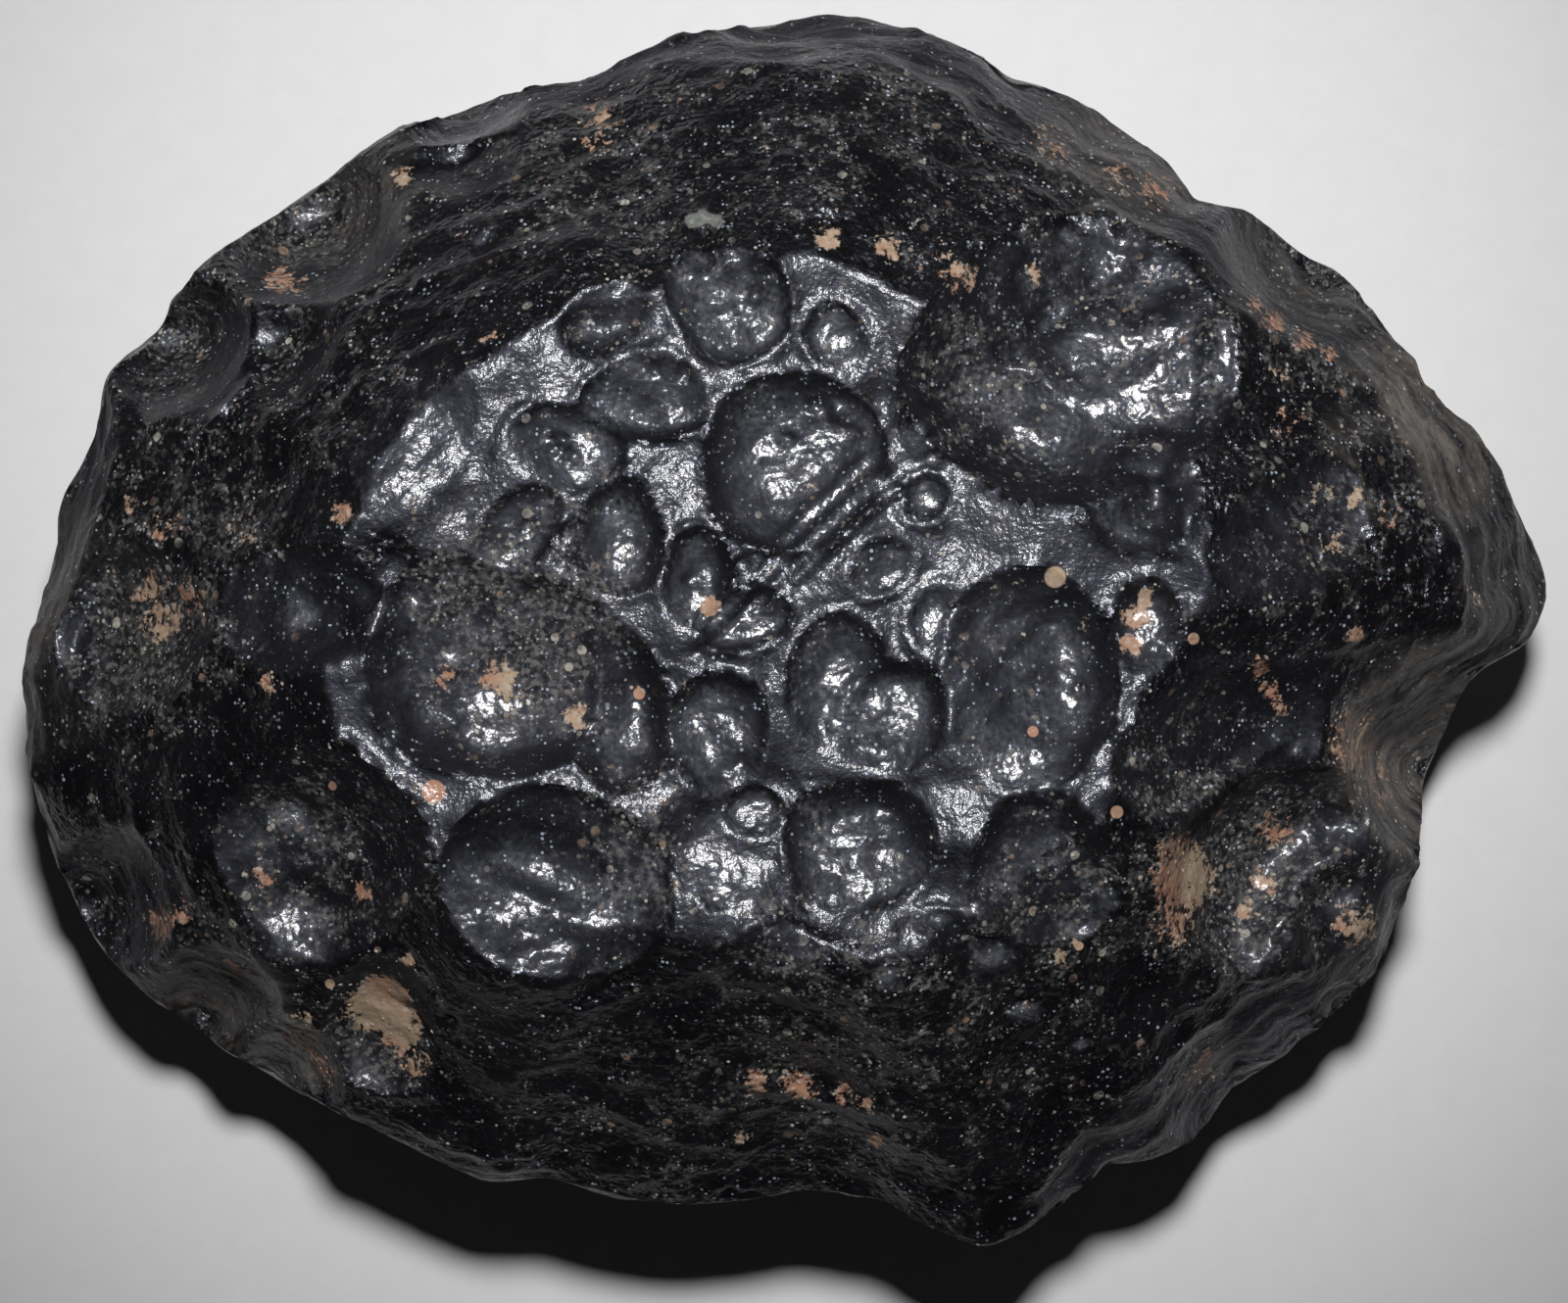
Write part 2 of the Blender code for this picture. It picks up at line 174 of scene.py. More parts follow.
# Scoops through the rim: x, y, half-width, half-length, turn in degrees, floor height, lip height.
SCOOPS = [
    (-15.7, 13.6, 4.1, 3.1, 31, 9.6, 15.6),
    (-20.2, 9.4, 2.9, 2.9, 0, 9.6, 14.8),
    (-16.7, 9.4, 2.0, 1.7, 30, 14.6, 16.4),
    (-10.6, 15.5, 2.1, 1.3, 20, 12.8, 14.8),
    (-10.0, 17.7, 3.3, 1.8, 25, 7.0, 13.6),
    (-7.4, 18.6, 3.2, 1.6, 15, 7.0, 13.2),
    (1.8, 21.0, 6.8, 2.5, 0, 6.0, 13.0),
    (11.4, 17.7, 4.2, 2.9, -33, 7.0, 14.2),
    (17.4, 12.4, 4.2, 3.1, -45, 8.6, 15.0),
    (22.7, 7.6, 3.2, 2.0, -50, 7.4, 13.4),
    (26.9, 2.2, 4.2, 3.6, 0, 6.6, 12.6),
    (21.9, -4.8, 3.7, 3.7, 0, 5.0, 13.8),
    (20.9, -10.2, 2.7, 2.8, 0, 6.4, 13.0),
    (15.5, -16.3, 3.8, 3.7, 0, 6.0, 14.4),
    (18.4, -12.8, 1.5, 1.5, 0, 6.8, 11.0),
    (9.6, -19.6, 1.8, 1.8, 0, 8.4, 12.8),
    (-16.9, -15.2, 2.6, 2.6, 0, 7.4, 13.0),
    (-19.4, -13.0, 3.0, 2.6, 0, 7.4, 13.2),
    (-23.0, -9.3, 3.1, 3.0, 0, 7.8, 13.2),
    (-26.4, -3.6, 2.3, 3.8, 0, 6.0, 12.8),
    (-26.1, 3.6, 8.4, 3.1, 72, 5.4, 12.8),
]

# Steep outer wall under the crown's edge: heading in degrees, width seen from above.
WALL_WIDTHS = [
    (0, 2.4), (3, 2.6), (10, 2.6), (17, 1.8), (21, 1.0), (27, 2.4), (35, 2.6), (40, 1.6), (45, 0.8),
    (51, 2.0), (61, 2.4), (71, 1.5), (85, 1.6), (100, 0.8), (118, 1.0), (126, 0.4), (155, 0.3), (161, 0.4),
    (166, 1.2), (175, 1.4), (184, 0.9), (190, 1.1), (196, 1.7), (202, 2.2), (210, 2.4), (219, 2.5),
    (225, 1.0), (228, 0.4), (235, 0.5), (242, 0.6), (250, 0.2), (262, 0.0), (285, 0.0), (292, 0.3),
    (299, 1.0), (309, 2.6), (319, 3.2), (326, 2.6), (334, 2.2), (340, 1.7), (346, 2.8), (351, 3.6),
    (356, 2.3),
]

# Shallow hollows of the belly: heading and dip in degrees, radius, depth.
BELLY_HOLLOWS = [
    (20, -20, 5.2, 1.3),
    (58, -28, 4.6, 1.1),
    (95, -18, 4.2, 1.0),
    (128, -30, 5.4, 1.4),
    (165, -20, 4.4, 1.0),
    (200, -30, 5.8, 1.5),
    (236, -18, 4.2, 1.0),
    (262, -32, 4.6, 1.2),
    (298, -20, 4.8, 1.2),
    (330, -30, 5.0, 1.3),
    (352, -14, 3.2, 0.8),
    (35, -44, 3.6, 0.8),
    (150, -46, 3.8, 0.9),
    (285, -46, 3.4, 0.8),
]

# ---------------------------------------------------------------- finer relief, mm
# Burst bubbles left as single round dimples: x, y, radius, depth.
DIMPLES = [
    (-3.4, 8.1, 0.32, 0.14), (-4.4, 8.1, 0.26, 0.11), (-3.2, 8.0, 0.22, 0.10), (4.5, 5.1, 0.45, 0.16),
    (-6.8, 3.0, 0.36, 0.14), (-6.9, 2.3, 0.30, 0.12), (-7.3, 5.9, 0.34, 0.14), (-7.0, 5.3, 0.30, 0.12),
    (-7.7, 5.4, 0.26, 0.10), (-7.9, 6.1, 0.24, 0.10), (-0.1, 6.0, 0.34, 0.13), (-2.9, 1.7, 0.30, 0.13),
    (-2.4, -8.5, 0.42, 0.20), (0.7, -8.9, 0.34, 0.13), (-3.6, -1.5, 0.28, 0.10), (10.8, 11.3, 0.44, 0.18),
    (9.5, 10.7, 0.34, 0.12), (10.6, 12.6, 0.30, 0.14), (11.4, 11.9, 0.36, 0.14), (12.0, 11.2, 0.32, 0.12),
    (11.2, 10.4, 0.30, 0.12), (9.2, -1.7, 0.36, 0.14), (9.6, -0.6, 0.28, 0.11), (16.8, -8.6, 0.34, 0.14),
    (-8.3, -2.2, 0.40, 0.12), (-9.6, -2.9, 0.36, 0.10), (3.3, -6.0, 0.30, 0.10),
    (-15.6, -9.2, 0.44, 0.14), (-1.3, -4.2, 0.30, 0.10), (0.8, 7.2, 0.34, 0.12), (1.9, 6.2, 0.40, 0.12),
]

# Drawn lines in the glass: x, y, reach, heading of the lines in degrees, spacing, height.
DRAWN_LINES = [
    (7.9, -1.8, 3.6, 48, 0.36, 0.060),
    (2.8, -2.4, 2.6, 4, 0.36, 0.050),
    (3.0, -7.0, 2.4, 12, 0.32, 0.045),
    (0.6, 4.6, 3.0, 40, 0.34, 0.040),
    (18.4, -0.6, 3.4, 64, 0.50, 0.16),
    (22.6, 1.6, 3.4, 80, 0.45, 0.14),
    (-6.0, -12.6, 5.0, 18, 0.70, 0.12),
    (-14.4, 6.4, 4.4, 52, 0.60, 0.14),
    (16.4, 6.0, 4.4, -62, 0.60, 0.16),
    (8.8, 14.4, 4.0, -28, 0.50, 0.14),
    (-7.6, 13.6, 4.6, 24, 0.60, 0.12),
    (6.0, -15.6, 4.4, 62, 0.60, 0.14),
    (13.4, -12.6, 3.6, 66, 0.55, 0.16),
    (16.0, -13.2, 4.4, 46, 0.55, 0.20),
    (-20.4, -9.6, 3.6, 118, 0.60, 0.14),
    (-20.2, 5.6, 3.0, 55, 0.50, 0.10),
    (11.0, -5.2, 3.0, 40, 0.50, 0.08),
]

# Single raised or sunk seams: start x, y, end x, y, half-width, height.
SEAMS = [
    (-3.1, -0.6, 3.2, 5.1, 0.10, 0.08),
    (-1.6, 1.0, 2.9, 5.3, 0.10, -0.08),
    (-0.6, 2.4, 2.5, 5.4, 0.11, 0.08),
    (-2.9, -0.9, 3.4, 4.8, 0.10, -0.10),
    (-0.8, 0.5, 3.5, 4.4, 0.11, 0.08),
    (0.6, 1.3, 3.4, 3.9, 0.11, -0.06),
    (-19.4, 5.3, -17.2, 7.9, 0.11, 0.24),
    (-3.2, 13.0, -3.3, 11.4, 0.12, 0.18),
    (-2.1, 12.8, -1.9, 11.6, 0.12, 0.18),
    (-2.65, 12.5, -2.6, 11.3, 0.20, -0.26),
    (11.7, -6.7, 13.6, -5.1, 0.16, 0.20),
    (13.6, -5.1, 15.8, -3.8, 0.16, 0.20),
    (-6.6, -12.2, -4.6, -11.5, 0.14, 0.16),
    (-1.4, -14.5, 3.9, -15.6, 0.34, 0.34),
    (13.4, 9.6, 13.3, 5.4, 0.18, 0.22),
    (-14.2, -3.4, -11.7, -5.4, 0.14, 0.16),
]

# Stretches that lean as a whole: x, y, reach, slope toward +X, slope toward +Y. The slopes were
# fitted by a separate script, so that the middle of most stretches gleams.
LEANS = [
    (-2.1, -8.0, 3.2, 0.06, -0.43),
    (0.6, -10.0, 2.4, -0.24, -0.55),
    (3.4, -10.2, 2.8, -0.03, -0.27),
    (3.6, 1.8, 4.4, -0.23, 0.1),
    (-11.4, 4.6, 3.6, 0.01, -0.05),
    (-6.0, 10.6, 2.8, -0.11, 0.56),
    (2.6, 10.9, 3.0, 0.04, -0.01),
    (3.7, 6.8, 1.8, 0.37, -0.11),
    (16.9, -8.6, 2.8, 0.49, -0.34),
    (5.6, -5.6, 2.4, -0.1, -0.22),
    (-15.8, -9.9, 2.4, -0.4, -0.45),
    (4.6, -8.9, 2.2, -0.14, -0.21),
    (-1.2, -6.0, 2.2, -0.02, -0.28),
    (10.9, 11.6, 2.4, -0.04, 0.6),
    (-13.2, 1.2, 2.2, -0.43, -0.42),
    (-4.0, -5.2, 2.0, 0.03, -0.11),
    (-8.6, -9.2, 3.6, -0.22, -0.48),
    (2.9, -6.2, 2.4, -0.06, -0.16),
    (3.6, -2.4, 2.0, -0.17, -0.24),
    (-15.1, 0.3, 1.8, -0.6, 0.0),
    (11.8, 4.9, 1.6, -0.21, 0.56),
]

# Small worn facets, each turned so that it gleams: x, y, reach.
FACETS = [
    (18.0, -9.2, 1.9), (-15.8, -10.0, 1.5), (-15.8, -6.2, 1.1), (-15.4, 0.3, 0.8), (-2.0, -7.9, 1.4),
    (11.8, 11.4, 1.9), (11.6, 4.9, 0.9), (6.4, -10.5, 1.1), (3.2, -11.2, 0.8), (7.6, -12.2, 0.7),
    (-9.8, 12.4, 0.7), (9.4, -13.4, 0.6), (-9.6, -3.6, 1.3), (-7.6, -10.4, 1.5),
]

# Where the lamp stands, and about twice its height over the crown: they set which slope gleams.
LAMP_PLACE = (10.0, 93.0, 355.0)
GLEAM_REACH = 680.0

# Ripples running round a middle: x, y, reach, spacing, height.
RIPPLES = [
    (2.2, -7.2, 2.0, 0.34, 0.010),
    (-7.6, -8.8, 3.0, 0.42, 0.014),
    (-1.9, -3.6, 1.6, 0.30, 0.010),
    (-5.2, 2.6, 1.4, 0.34, 0.010),
]

# Dried clay: x, y, reach, amount.
CLAY = [
    (-20.6, 1.2, 0.7, 0.8), (-20.2, 0.1, 0.8, 0.9), (-19.2, 0.9, 0.7, 0.7), (-19.5, 0.2, 0.6, 0.6),
    (-9.2, -1.7, 0.8, 1.0), (-8.7, -2.3, 0.6, 0.8), (-6.7, -2.9, 0.5, 1.0), (-10.9, -1.6, 0.5, 0.8),
    (11.1, 0.3, 0.55, 1.2), (10.9, -0.6, 0.45, 1.2),
    (11.4, 0.9, 0.40, 1.0), (12.7, -8.0, 1.3, 1.2), (12.4, -7.2, 0.8, 1.0), (12.4, -9.6, 0.9, 0.8),
    (15.4, -8.2, 0.6, 1.0),
    (14.8, -9.2, 0.5, 0.9), (15.8, -6.6, 0.7, 0.8), (18.5, -9.7, 0.9, 0.9), (-13.1, -12.2, 1.1, 1.7),
    (-12.5, -13.0, 0.9, 1.3), (-13.9, -12.3, 0.6, 0.8), (-12.0, -14.1, 0.6, 0.8), (-15.8, -13.3, 1.1, 0.8),
    (-15.3, -14.4, 0.9, 0.7), (15.0, 10.4, 0.4, 0.9), (15.7, 9.8, 0.5, 1.0), (16.7, 9.2, 0.5, 0.8),
    (17.5, 8.8, 0.4, 0.8), (15.8, 8.0, 0.4, 0.7), (18.2, 4.1, 0.45, 1.1), (15.1, -1.3, 0.4, 1.1),
    (15.4, -2.1, 0.4, 1.1), (15.8, -2.7, 0.35, 0.9), (18.2, -0.3, 0.35, 1.2), (18.4, -3.8, 1.3, 0.8),
    (19.2, -5.0, 1.1, 0.6), (-14.1, 3.6, 0.5, 1.0), (-16.5, -1.8, 0.4, 0.9), (-20.0, 3.2, 0.7, 0.7),
    (-21.3, 4.0, 0.5, 0.7), (-16.5, 11.3, 0.6, 0.9), (-15.8, 11.1, 0.4, 0.7), (-12.5, 14.6, 0.5, 0.8),
    (-6.0, 16.4, 0.9, 0.6), (-6.2, 15.6, 0.6, 0.6), (1.3, 12.3, 0.5, 1.1), (3.2, 12.0, 0.5, 1.1),
    (5.5, 11.1, 0.8, 0.7), (4.9, 12.0, 0.5, 0.6), (-1.0, -14.7, 0.6, 1.0), (0.4, -14.8, 0.6, 1.1),
    (1.8, -15.0, 0.5, 0.8), (2.6, -15.4, 0.4, 0.8), (2.9, -16.6, 0.3, 1.4), (-1.5, -16.5, 0.3, 1.1),
    (-16.8, -8.1, 0.4, 1.0), (-13.6, -8.5, 0.4, 0.9), (-12.1, -10.7, 0.3, 1.2), (-4.7, -2.1, 0.25, 1.2),
    (-17.8, -11.2, 0.7, 0.7), (-20.4, -9.6, 0.7, 0.8), (-19.6, -9.2, 0.5, 0.7), (10.6, 14.6, 0.8, 0.5),
    (12.0, 14.2, 0.8, 0.7), (8.6, 15.6, 1.0, 0.5), (-9.4, 9.2, 0.5, 0.5), (-2.4, 0.6, 0.4, 1.2),
    (13.6, -14.2, 0.7, 0.7), (13.2, -15.0, 0.5, 0.7), (8.7, -10.5, 0.25, 1.0), (9.2, -10.1, 0.25, 1.0),
    (17.0, 4.3, 0.7, 0.5), (17.6, 2.6, 0.6, 0.5), (19.4, 3.6, 0.6, 0.6), (22.2, 0.9, 0.5, 0.6),
    (16.0, 6.6, 0.7, 0.5), (-17.4, 3.0, 0.6, 0.5), (7.9, 11.2, 0.4, 0.7),
]

# Pale chipped spots, partly painted highlight where small facets catch the lamp: x, y, reach, amount.
CHIPS = [
    (-3.05, 12.9, 0.26, 1.7), (-2.65, 13.05, 0.30, 1.8), (-2.25, 12.9, 0.24, 1.7), (16.4, -8.9, 0.3, 0.8),
    (18.6, -8.0, 0.3, 0.7), (11.6, 4.9, 0.4, 0.6), (12.4, 5.2, 0.3, 0.6),
]

# Places off the pits where the glass is smooth and wet-looking, and where the painted sheen also lies: x, y,
# reach, amount.
WET_SPOTS = [
    (-2.1, -7.9, 1.7, 1.0), (-2.6, -6.2, 1.2, 0.8), (4.6, 5.4, 1.2, 0.8), (5.6, -9.2, 1.5, 0.8),
    (-4.2, 8.6, 1.4, 0.8), (2.8, 3.0, 1.2, 0.7), (5.2, -3.6, 1.0, 0.8), (-10.6, 3.6, 1.2, 0.6),
    (-7.6, 7.6, 1.0, 0.8), (11.8, 4.9, 1.2, 1.0),
    (10.9, 11.6, 2.0, 0.9), (17.0, -8.6, 2.6, 1.0), (-15.8, -9.9, 1.8, 1.0), (-1.4, -1.6, 0.8, 0.8),
    (6.4, -10.6, 1.5, 0.9), (3.2, -11.2, 1.0, 0.8), (7.6, -12.2, 0.9, 0.8), (-9.8, 12.4, 0.9, 0.7),
]

# Round drops of clay: x, y, radius.
ROUND_SPOTS = [
    (-11.2, -5.25, 0.40), (8.5, 1.55, 0.36), (-4.7, -2.15, 0.20), (7.8, -3.35, 0.19), (12.9, -0.4, 0.20),
    (10.45, -5.9, 0.22), (2.9, -16.6, 0.18), (-14.7, -11.5, 0.17), (-14.5, -5.1, 0.15), (9.3, -10.2, 0.16),
]

# Where grey dust lies thick: x, y, reach, amount.
DUST = [
    (-20.6, -0.4, 3.4, 0.9), (-19.0, 4.0, 3.4, 0.6), (-14.8, -7.4, 4.0, 0.6), (-8.8, 0.4, 4.6, 0.8),
    (-5.0, -7.0, 3.2, 0.6), (-15.8, 13.0, 4.0, 0.8), (-19.8, 9.6, 3.2, 0.8), (-15.4, 8.0, 3.6, 0.5),
    (-6.0, 14.4, 5.6, 0.4), (2.0, 15.0, 6.0, 0.35), (8.6, 12.4, 4.4, 0.35), (6.0, 7.6, 3.4, 0.6),
    (12.4, 9.0, 3.0, 0.5), (18.0, 4.2, 5.0, 0.4), (14.4, -8.0, 4.2, 0.9), (13.0, -4.6, 3.6, 0.4),
    (8.6, -8.6, 3.4, 0.5), (1.6, -12.8, 5.4, 0.5), (6.4, -13.0, 4.0, 0.4), (-13.0, -13.2, 3.0, 0.7),
    (-18.6, -11.4, 3.4, 0.6), (-22.0, -8.0, 2.6, 0.5), (17.6, 10.4, 3.6, 0.6), (19.6, -5.0, 3.0, 0.6),
    (-4.0, -16.0, 6.0, 0.25), (10.0, -16.0, 3.0, 0.25),
]

# Powdery film on the steep outer wall, partly painted reflection of the paper: x, y, reach, amount.
WALL_DUST_AND_REFLECTION = [
    (21.4, -4.2, 4.2, 1.3), (20.6, 6.4, 3.6, 1.1), (-24.6, 0.0, 4.5, 0.6), (-18.6, -13.2, 3.0, 0.5),
    (11.0, 15.4, 3.0, 0.5), (24.0, 1.0, 2.6, 0.5), (17.0, 12.0, 3.0, 0.4), (19.6, -11.4, 2.6, 0.3),
    (-14.6, 14.6, 3.0, 0.5),
]


def rim_table():
    """Distance of the rim from the origin at even headings, corners slightly rounded."""
    points = np.array(OUTLINE)
    heading = np.unwrap(np.arctan2(points[:, 1], points[:, 0]))
    reach = np.hypot(points[:, 0], points[:, 1])
    heading = np.append(heading, heading[0] + 2 * math.pi)
    reach = np.append(reach, reach[0])
    even = heading[0] + np.linspace(0, 2 * math.pi, RIM_STEPS, endpoint=False)
    table = np.interp(even, heading, reach)
    for _ in range(RIM_ROUNDING_PASSES):
        table = 0.5 * table + 0.25 * (np.roll(table, 1) + np.roll(table, -1))
    return even, table


def rim_distance(heading, rim):
    even, table = rim
    return np.interp(heading, even, table, period=2 * math.pi)


def crown_profile(share, rim_z):
    """Height of the plain crown, from its flat top over the shoulder down toward the rim."""
    fall = np.clip((share - PLATEAU_SHARE) / (1 - PLATEAU_SHARE), 0, 1) ** SHOULDER_POWER
    shoulder = CROWN_HEIGHT - PLATEAU_DOMING * share**2
    return shoulder + (rim_z - shoulder) * fall


def wall_height(heading, reach, inward):
    """Height of the steep outer wall at a distance inward from the rim."""
    turns, widths = np.array(WALL_WIDTHS).T
    width = np.interp(np.degrees(heading), turns, widths, period=360)
    return crown_profile(1 - width / reach, RIM_HEIGHT) - WALL_STEEPNESS * (width - inward)


def nearness(x, y, centre_x, centre_y, half_width, half_length, turn):
    """Squared distance from an oval's centre: 0 in the middle and 1 on its edge."""
    angle = math.radians(turn)
    along = (x - centre_x) * math.cos(angle) + (y - centre_y) * math.sin(angle)
    across = (y - centre_y) * math.cos(angle) - (x - centre_x) * math.sin(angle)
    return (along / half_width) ** 2 + (across / half_length) ** 2


def grain(x, y, z, length):
    """Smooth random values from about -1 to 1 that change over the given length."""
    return np.array([noise.noise(Vector(place)) for place in zip(x / length, y / length, z / length)])


def strayed(x, y):
    """Pull the ovals of the tables slightly out of true, as drawn glass would be."""
    places = [Vector((px / STRAY_LENGTH, py / STRAY_LENGTH, 0)) for px, py in zip(x, y)]
    bend = np.array([noise.noise_vector(place) for place in places])
    return x + STRAY * bend[:, 0], y + STRAY * bend[:, 1]


def rounded_minimum(first, second, rounding):
    """The lower of two heights, with the crease between them rounded off."""
    blend = np.clip(0.5 + 0.5 * (second - first) / rounding, 0, 1)
    return second + (first - second) * blend - rounding * blend * (1 - blend)


def scoop_floor(x, y):
    """Height of the lowest scoop over each point, very high where there is none."""
    lowest = np.full_like(x, FAR_ABOVE)
    for centre_x, centre_y, half_width, half_length, turn, floor, lip in SCOOPS:
        near = nearness(x, y, centre_x, centre_y, half_width, half_length, turn)
        floor_here = np.minimum(floor + (lip - floor) * near, FAR_ABOVE)
        lowest = rounded_minimum(lowest, floor_here, SCOOP_ROUNDING)
    return lowest


def pit_depth(x, y):
    """Depth of the pits, and a 0 to 1 value along the thin ridges round and between them."""
    deepest = np.zeros_like(x)
    second = np.full_like(x, -9.0)
    for centre_x, centre_y, half_width, half_length, turn, depth, tip_x, tip_y in PITS:
        near = nearness(x, y, centre_x, centre_y, half_width, half_length, turn)
        tip = 1 + tip_x * np.clip((x - centre_x) / half_width, -1, 1)
        tip = np.maximum(tip + tip_y * np.clip((y - centre_y) / half_length, -1, 1), SHALLOWEST_TIP)
        here = depth * PIT_DEPTH_SHARE * (1 - near**PIT_FLATNESS) * tip
        second = np.maximum(second, np.minimum(deepest, here))
        deepest = np.maximum(deepest, here)
    edge = np.exp(-((deepest - second) / PIT_EDGE_WIDTH) ** 2) * np.clip((second + 0.35) * 4, 0, 1)
    for centre_x, centre_y, radius, depth in NESTED_PITS:
        near = nearness(x, y, centre_x, centre_y, radius, radius, 0)
        deepest = deepest + depth * np.clip(1 - near, 0, 1) ** 1.5
    for centre_x, centre_y, radius, depth in DIMPLES:
        near = nearness(x, y, centre_x, centre_y, radius, radius, 0)
        deepest = deepest + depth * (np.clip(1 - near, 0, 1) - 0.35 * np.exp(-((near - 1.15) / 0.25) ** 2))
    return deepest, edge


def drawn_relief(x, y, z):
    """Height of drawn lines, ripples and seams on the crown."""
    height = np.zeros_like(x)
    for centre_x, centre_y, reach, heading, spacing, lift in DRAWN_LINES:
        near = nearness(x, y, centre_x, centre_y, reach, reach, 0)
        inside = near < 1
        angle = math.radians(heading)
        along = (x[inside] - centre_x) * math.cos(angle) + (y[inside] - centre_y) * math.sin(angle)
        across = (y[inside] - centre_y) * math.cos(angle) - (x[inside] - centre_x) * math.sin(angle)
        lines = grain(along / 9, across, z[inside] * 0.15, spacing)
        height[inside] += lift * lines * (1 - near[inside]) ** 0.7
    for centre_x, centre_y, reach, spacing, lift in RIPPLES:
        near = nearness(x, y, centre_x, centre_y, reach, reach, 0)
        inside = near < 1
        here_x, here_y, here_z = x[inside], y[inside], z[inside]
        turns = np.sqrt(near[inside]) * reach / spacing + 0.8 * grain(here_x, here_y, here_z, 1.1)
        height[inside] += lift * np.sin(turns * 2 * math.pi) * (1 - near[inside]) ** 0.5
    for start_x, start_y, end_x, end_y, half_width, lift in SEAMS:
        run_x, run_y = end_x - start_x, end_y - start_y
        share = np.clip(((x - start_x) * run_x + (y - start_y) * run_y) / (run_x**2 + run_y**2), 0, 1)
        gap = np.hypot(x - start_x - share * run_x, y - start_y - share * run_y)
        height += lift * np.exp(-(gap / half_width) ** 2)
    return height


def broad_changes(x, y):
    """Swellings, and gentle height changes that tip whole stretches of the crown one way."""
    height = np.zeros_like(x)
    for centre_x, centre_y, reach, lift in BULGES:
        near = nearness(x, y, centre_x, centre_y, reach, reach, 0)
        height += lift * np.clip(1 - near, 0, 1) ** 2
    for centre_x, centre_y, reach, slope_x, slope_y in LEANS:
        near = nearness(x, y, centre_x, centre_y, reach, reach, 0)
        height += ((x - centre_x) * slope_x + (y - centre_y) * slope_y) * np.clip(1 - near, 0, 1) ** 2
    return height


def gleaming_slope(x, y):
    """Slope toward +X and +Y of a plane that faces halfway between the lamp and the camera."""
    return (2 * x - LAMP_PLACE[0]) / GLEAM_REACH, (2 * y - LAMP_PLACE[1]) / GLEAM_REACH


def wear_facets(x, y, crown):
    """Draw small places of the crown towards tilted planes."""
    for centre_x, centre_y, reach in FACETS:
        slope_x, slope_y = gleaming_slope(centre_x, centre_y)
        near = nearness(x, y, centre_x, centre_y, reach, reach, 0)
        plane = crown[np.argmin(near)] + (x - centre_x) * slope_x + (y - centre_y) * slope_y
        crown = crown + (plane - crown) * FACET_FLATNESS * np.clip(1 - near, 0, 1) ** 1.5
    return crown


def patches(x, y, table):
    """0 to 1 and over where the listed round patches lie."""
    amount = np.zeros_like(x)
    for centre_x, centre_y, reach, strength in table:
        near = nearness(x, y, centre_x, centre_y, reach, reach, 0)
        amount = np.maximum(amount, strength * np.clip(1 - near, 0, 1) ** 0.6)
    return amount


def shape_body(directions):
    """Place a point of the lump for each unit direction, the rim at the equator, and tell how pitted."""
    rim = rim_table()
    heading = np.arctan2(directions[:, 1], directions[:, 0])
    rise = directions[:, 2]
    share = np.sqrt(np.clip(1 - rise**2, 0, 1))
    reach = rim_distance(heading, rim)
    rim_x = reach * np.cos(heading)
    rim_y = reach * np.sin(heading)
    x = APEX_X * (1 - share) + rim_x * share
    y = APEX_Y * (1 - share) + rim_y * share

    rim_z = RIM_HEIGHT + RIM_SWING * np.sin(heading * 3 + 0.6) * np.cos(heading * 2 - 0.4)
    lowered_rim = np.minimum(rim_z, wall_height(heading, reach, 0 * reach))
    lowered_rim = rounded_minimum(lowered_rim, scoop_floor(*strayed(rim_x, rim_y)), SCOOP_ROUNDING)
    off_rim = np.clip((1 - share) * PIT_FADE_AT_RIM, 0, 1)
    crown = crown_profile(share, rim_z)
    swell = grain(x, y, crown + SWELL_SEED * SWELL_LENGTH, SWELL_LENGTH)
    crown = crown + SWELL_HEIGHT * swell * (1 - share**4)
    crown = crown + broad_changes(x, y) * off_rim
    wall = wall_height(heading, reach, (1 - share) * reach)
    crown = rounded_minimum(crown, wall, WALL_ROUNDING)
    table_x, table_y = strayed(x, y)
    scoops = scoop_floor(table_x, table_y)
    in_scoop = scoops < crown
    crown = rounded_minimum(crown, scoops, SCOOP_ROUNDING)
    depth, edge = pit_depth(table_x, table_y)
    crown = crown - depth * off_rim
    crown = crown + PIT_EDGE_LIFT * edge * off_rim * ~in_scoop
    crown = wear_facets(x, y, crown)
    belly = rim_z * (1 - BELLY_OVERSINK * (1 - share**BELLY_SQUARENESS) ** 0.5)
    near_rim = np.clip((share - UNDERCUT_FROM) / (1 - UNDERCUT_FROM), 0, 1) ** UNDERCUT_POWER
    belly = belly - (rim_z - lowered_rim) * near_rim
    top_side = rise >= 0
    z = np.where(top_side, np.maximum(crown, belly + RIM_THINNEST * (1 - share)), belly)
    pitted = np.clip(depth / PITTED_FROM, 0, 1) * top_side * off_rim
    return np.stack([x, y, z], axis=1), pitted


def hollow_belly(points, normals, directions):
    """Press shallow hollows into the belly along its own normals, sharp where they meet."""
    deepest = np.zeros(len(points))
    for heading, dip, radius, depth in BELLY_HOLLOWS:
        aim = np.array([
            math.cos(math.radians(heading)) * math.cos(math.radians(dip)),
            math.sin(math.radians(heading)) * math.cos(math.radians(dip)),
            math.sin(math.radians(dip)),
        ])
        centre = points[np.argmax(directions @ aim)]
        near = ((points - centre) ** 2).sum(axis=1) / radius**2
        deepest = np.maximum(deepest, depth * (1 - near))
    below_rim = np.clip(-directions[:, 2] * 9, 0, 1)
    return points - normals * (deepest * below_rim)[:, None]


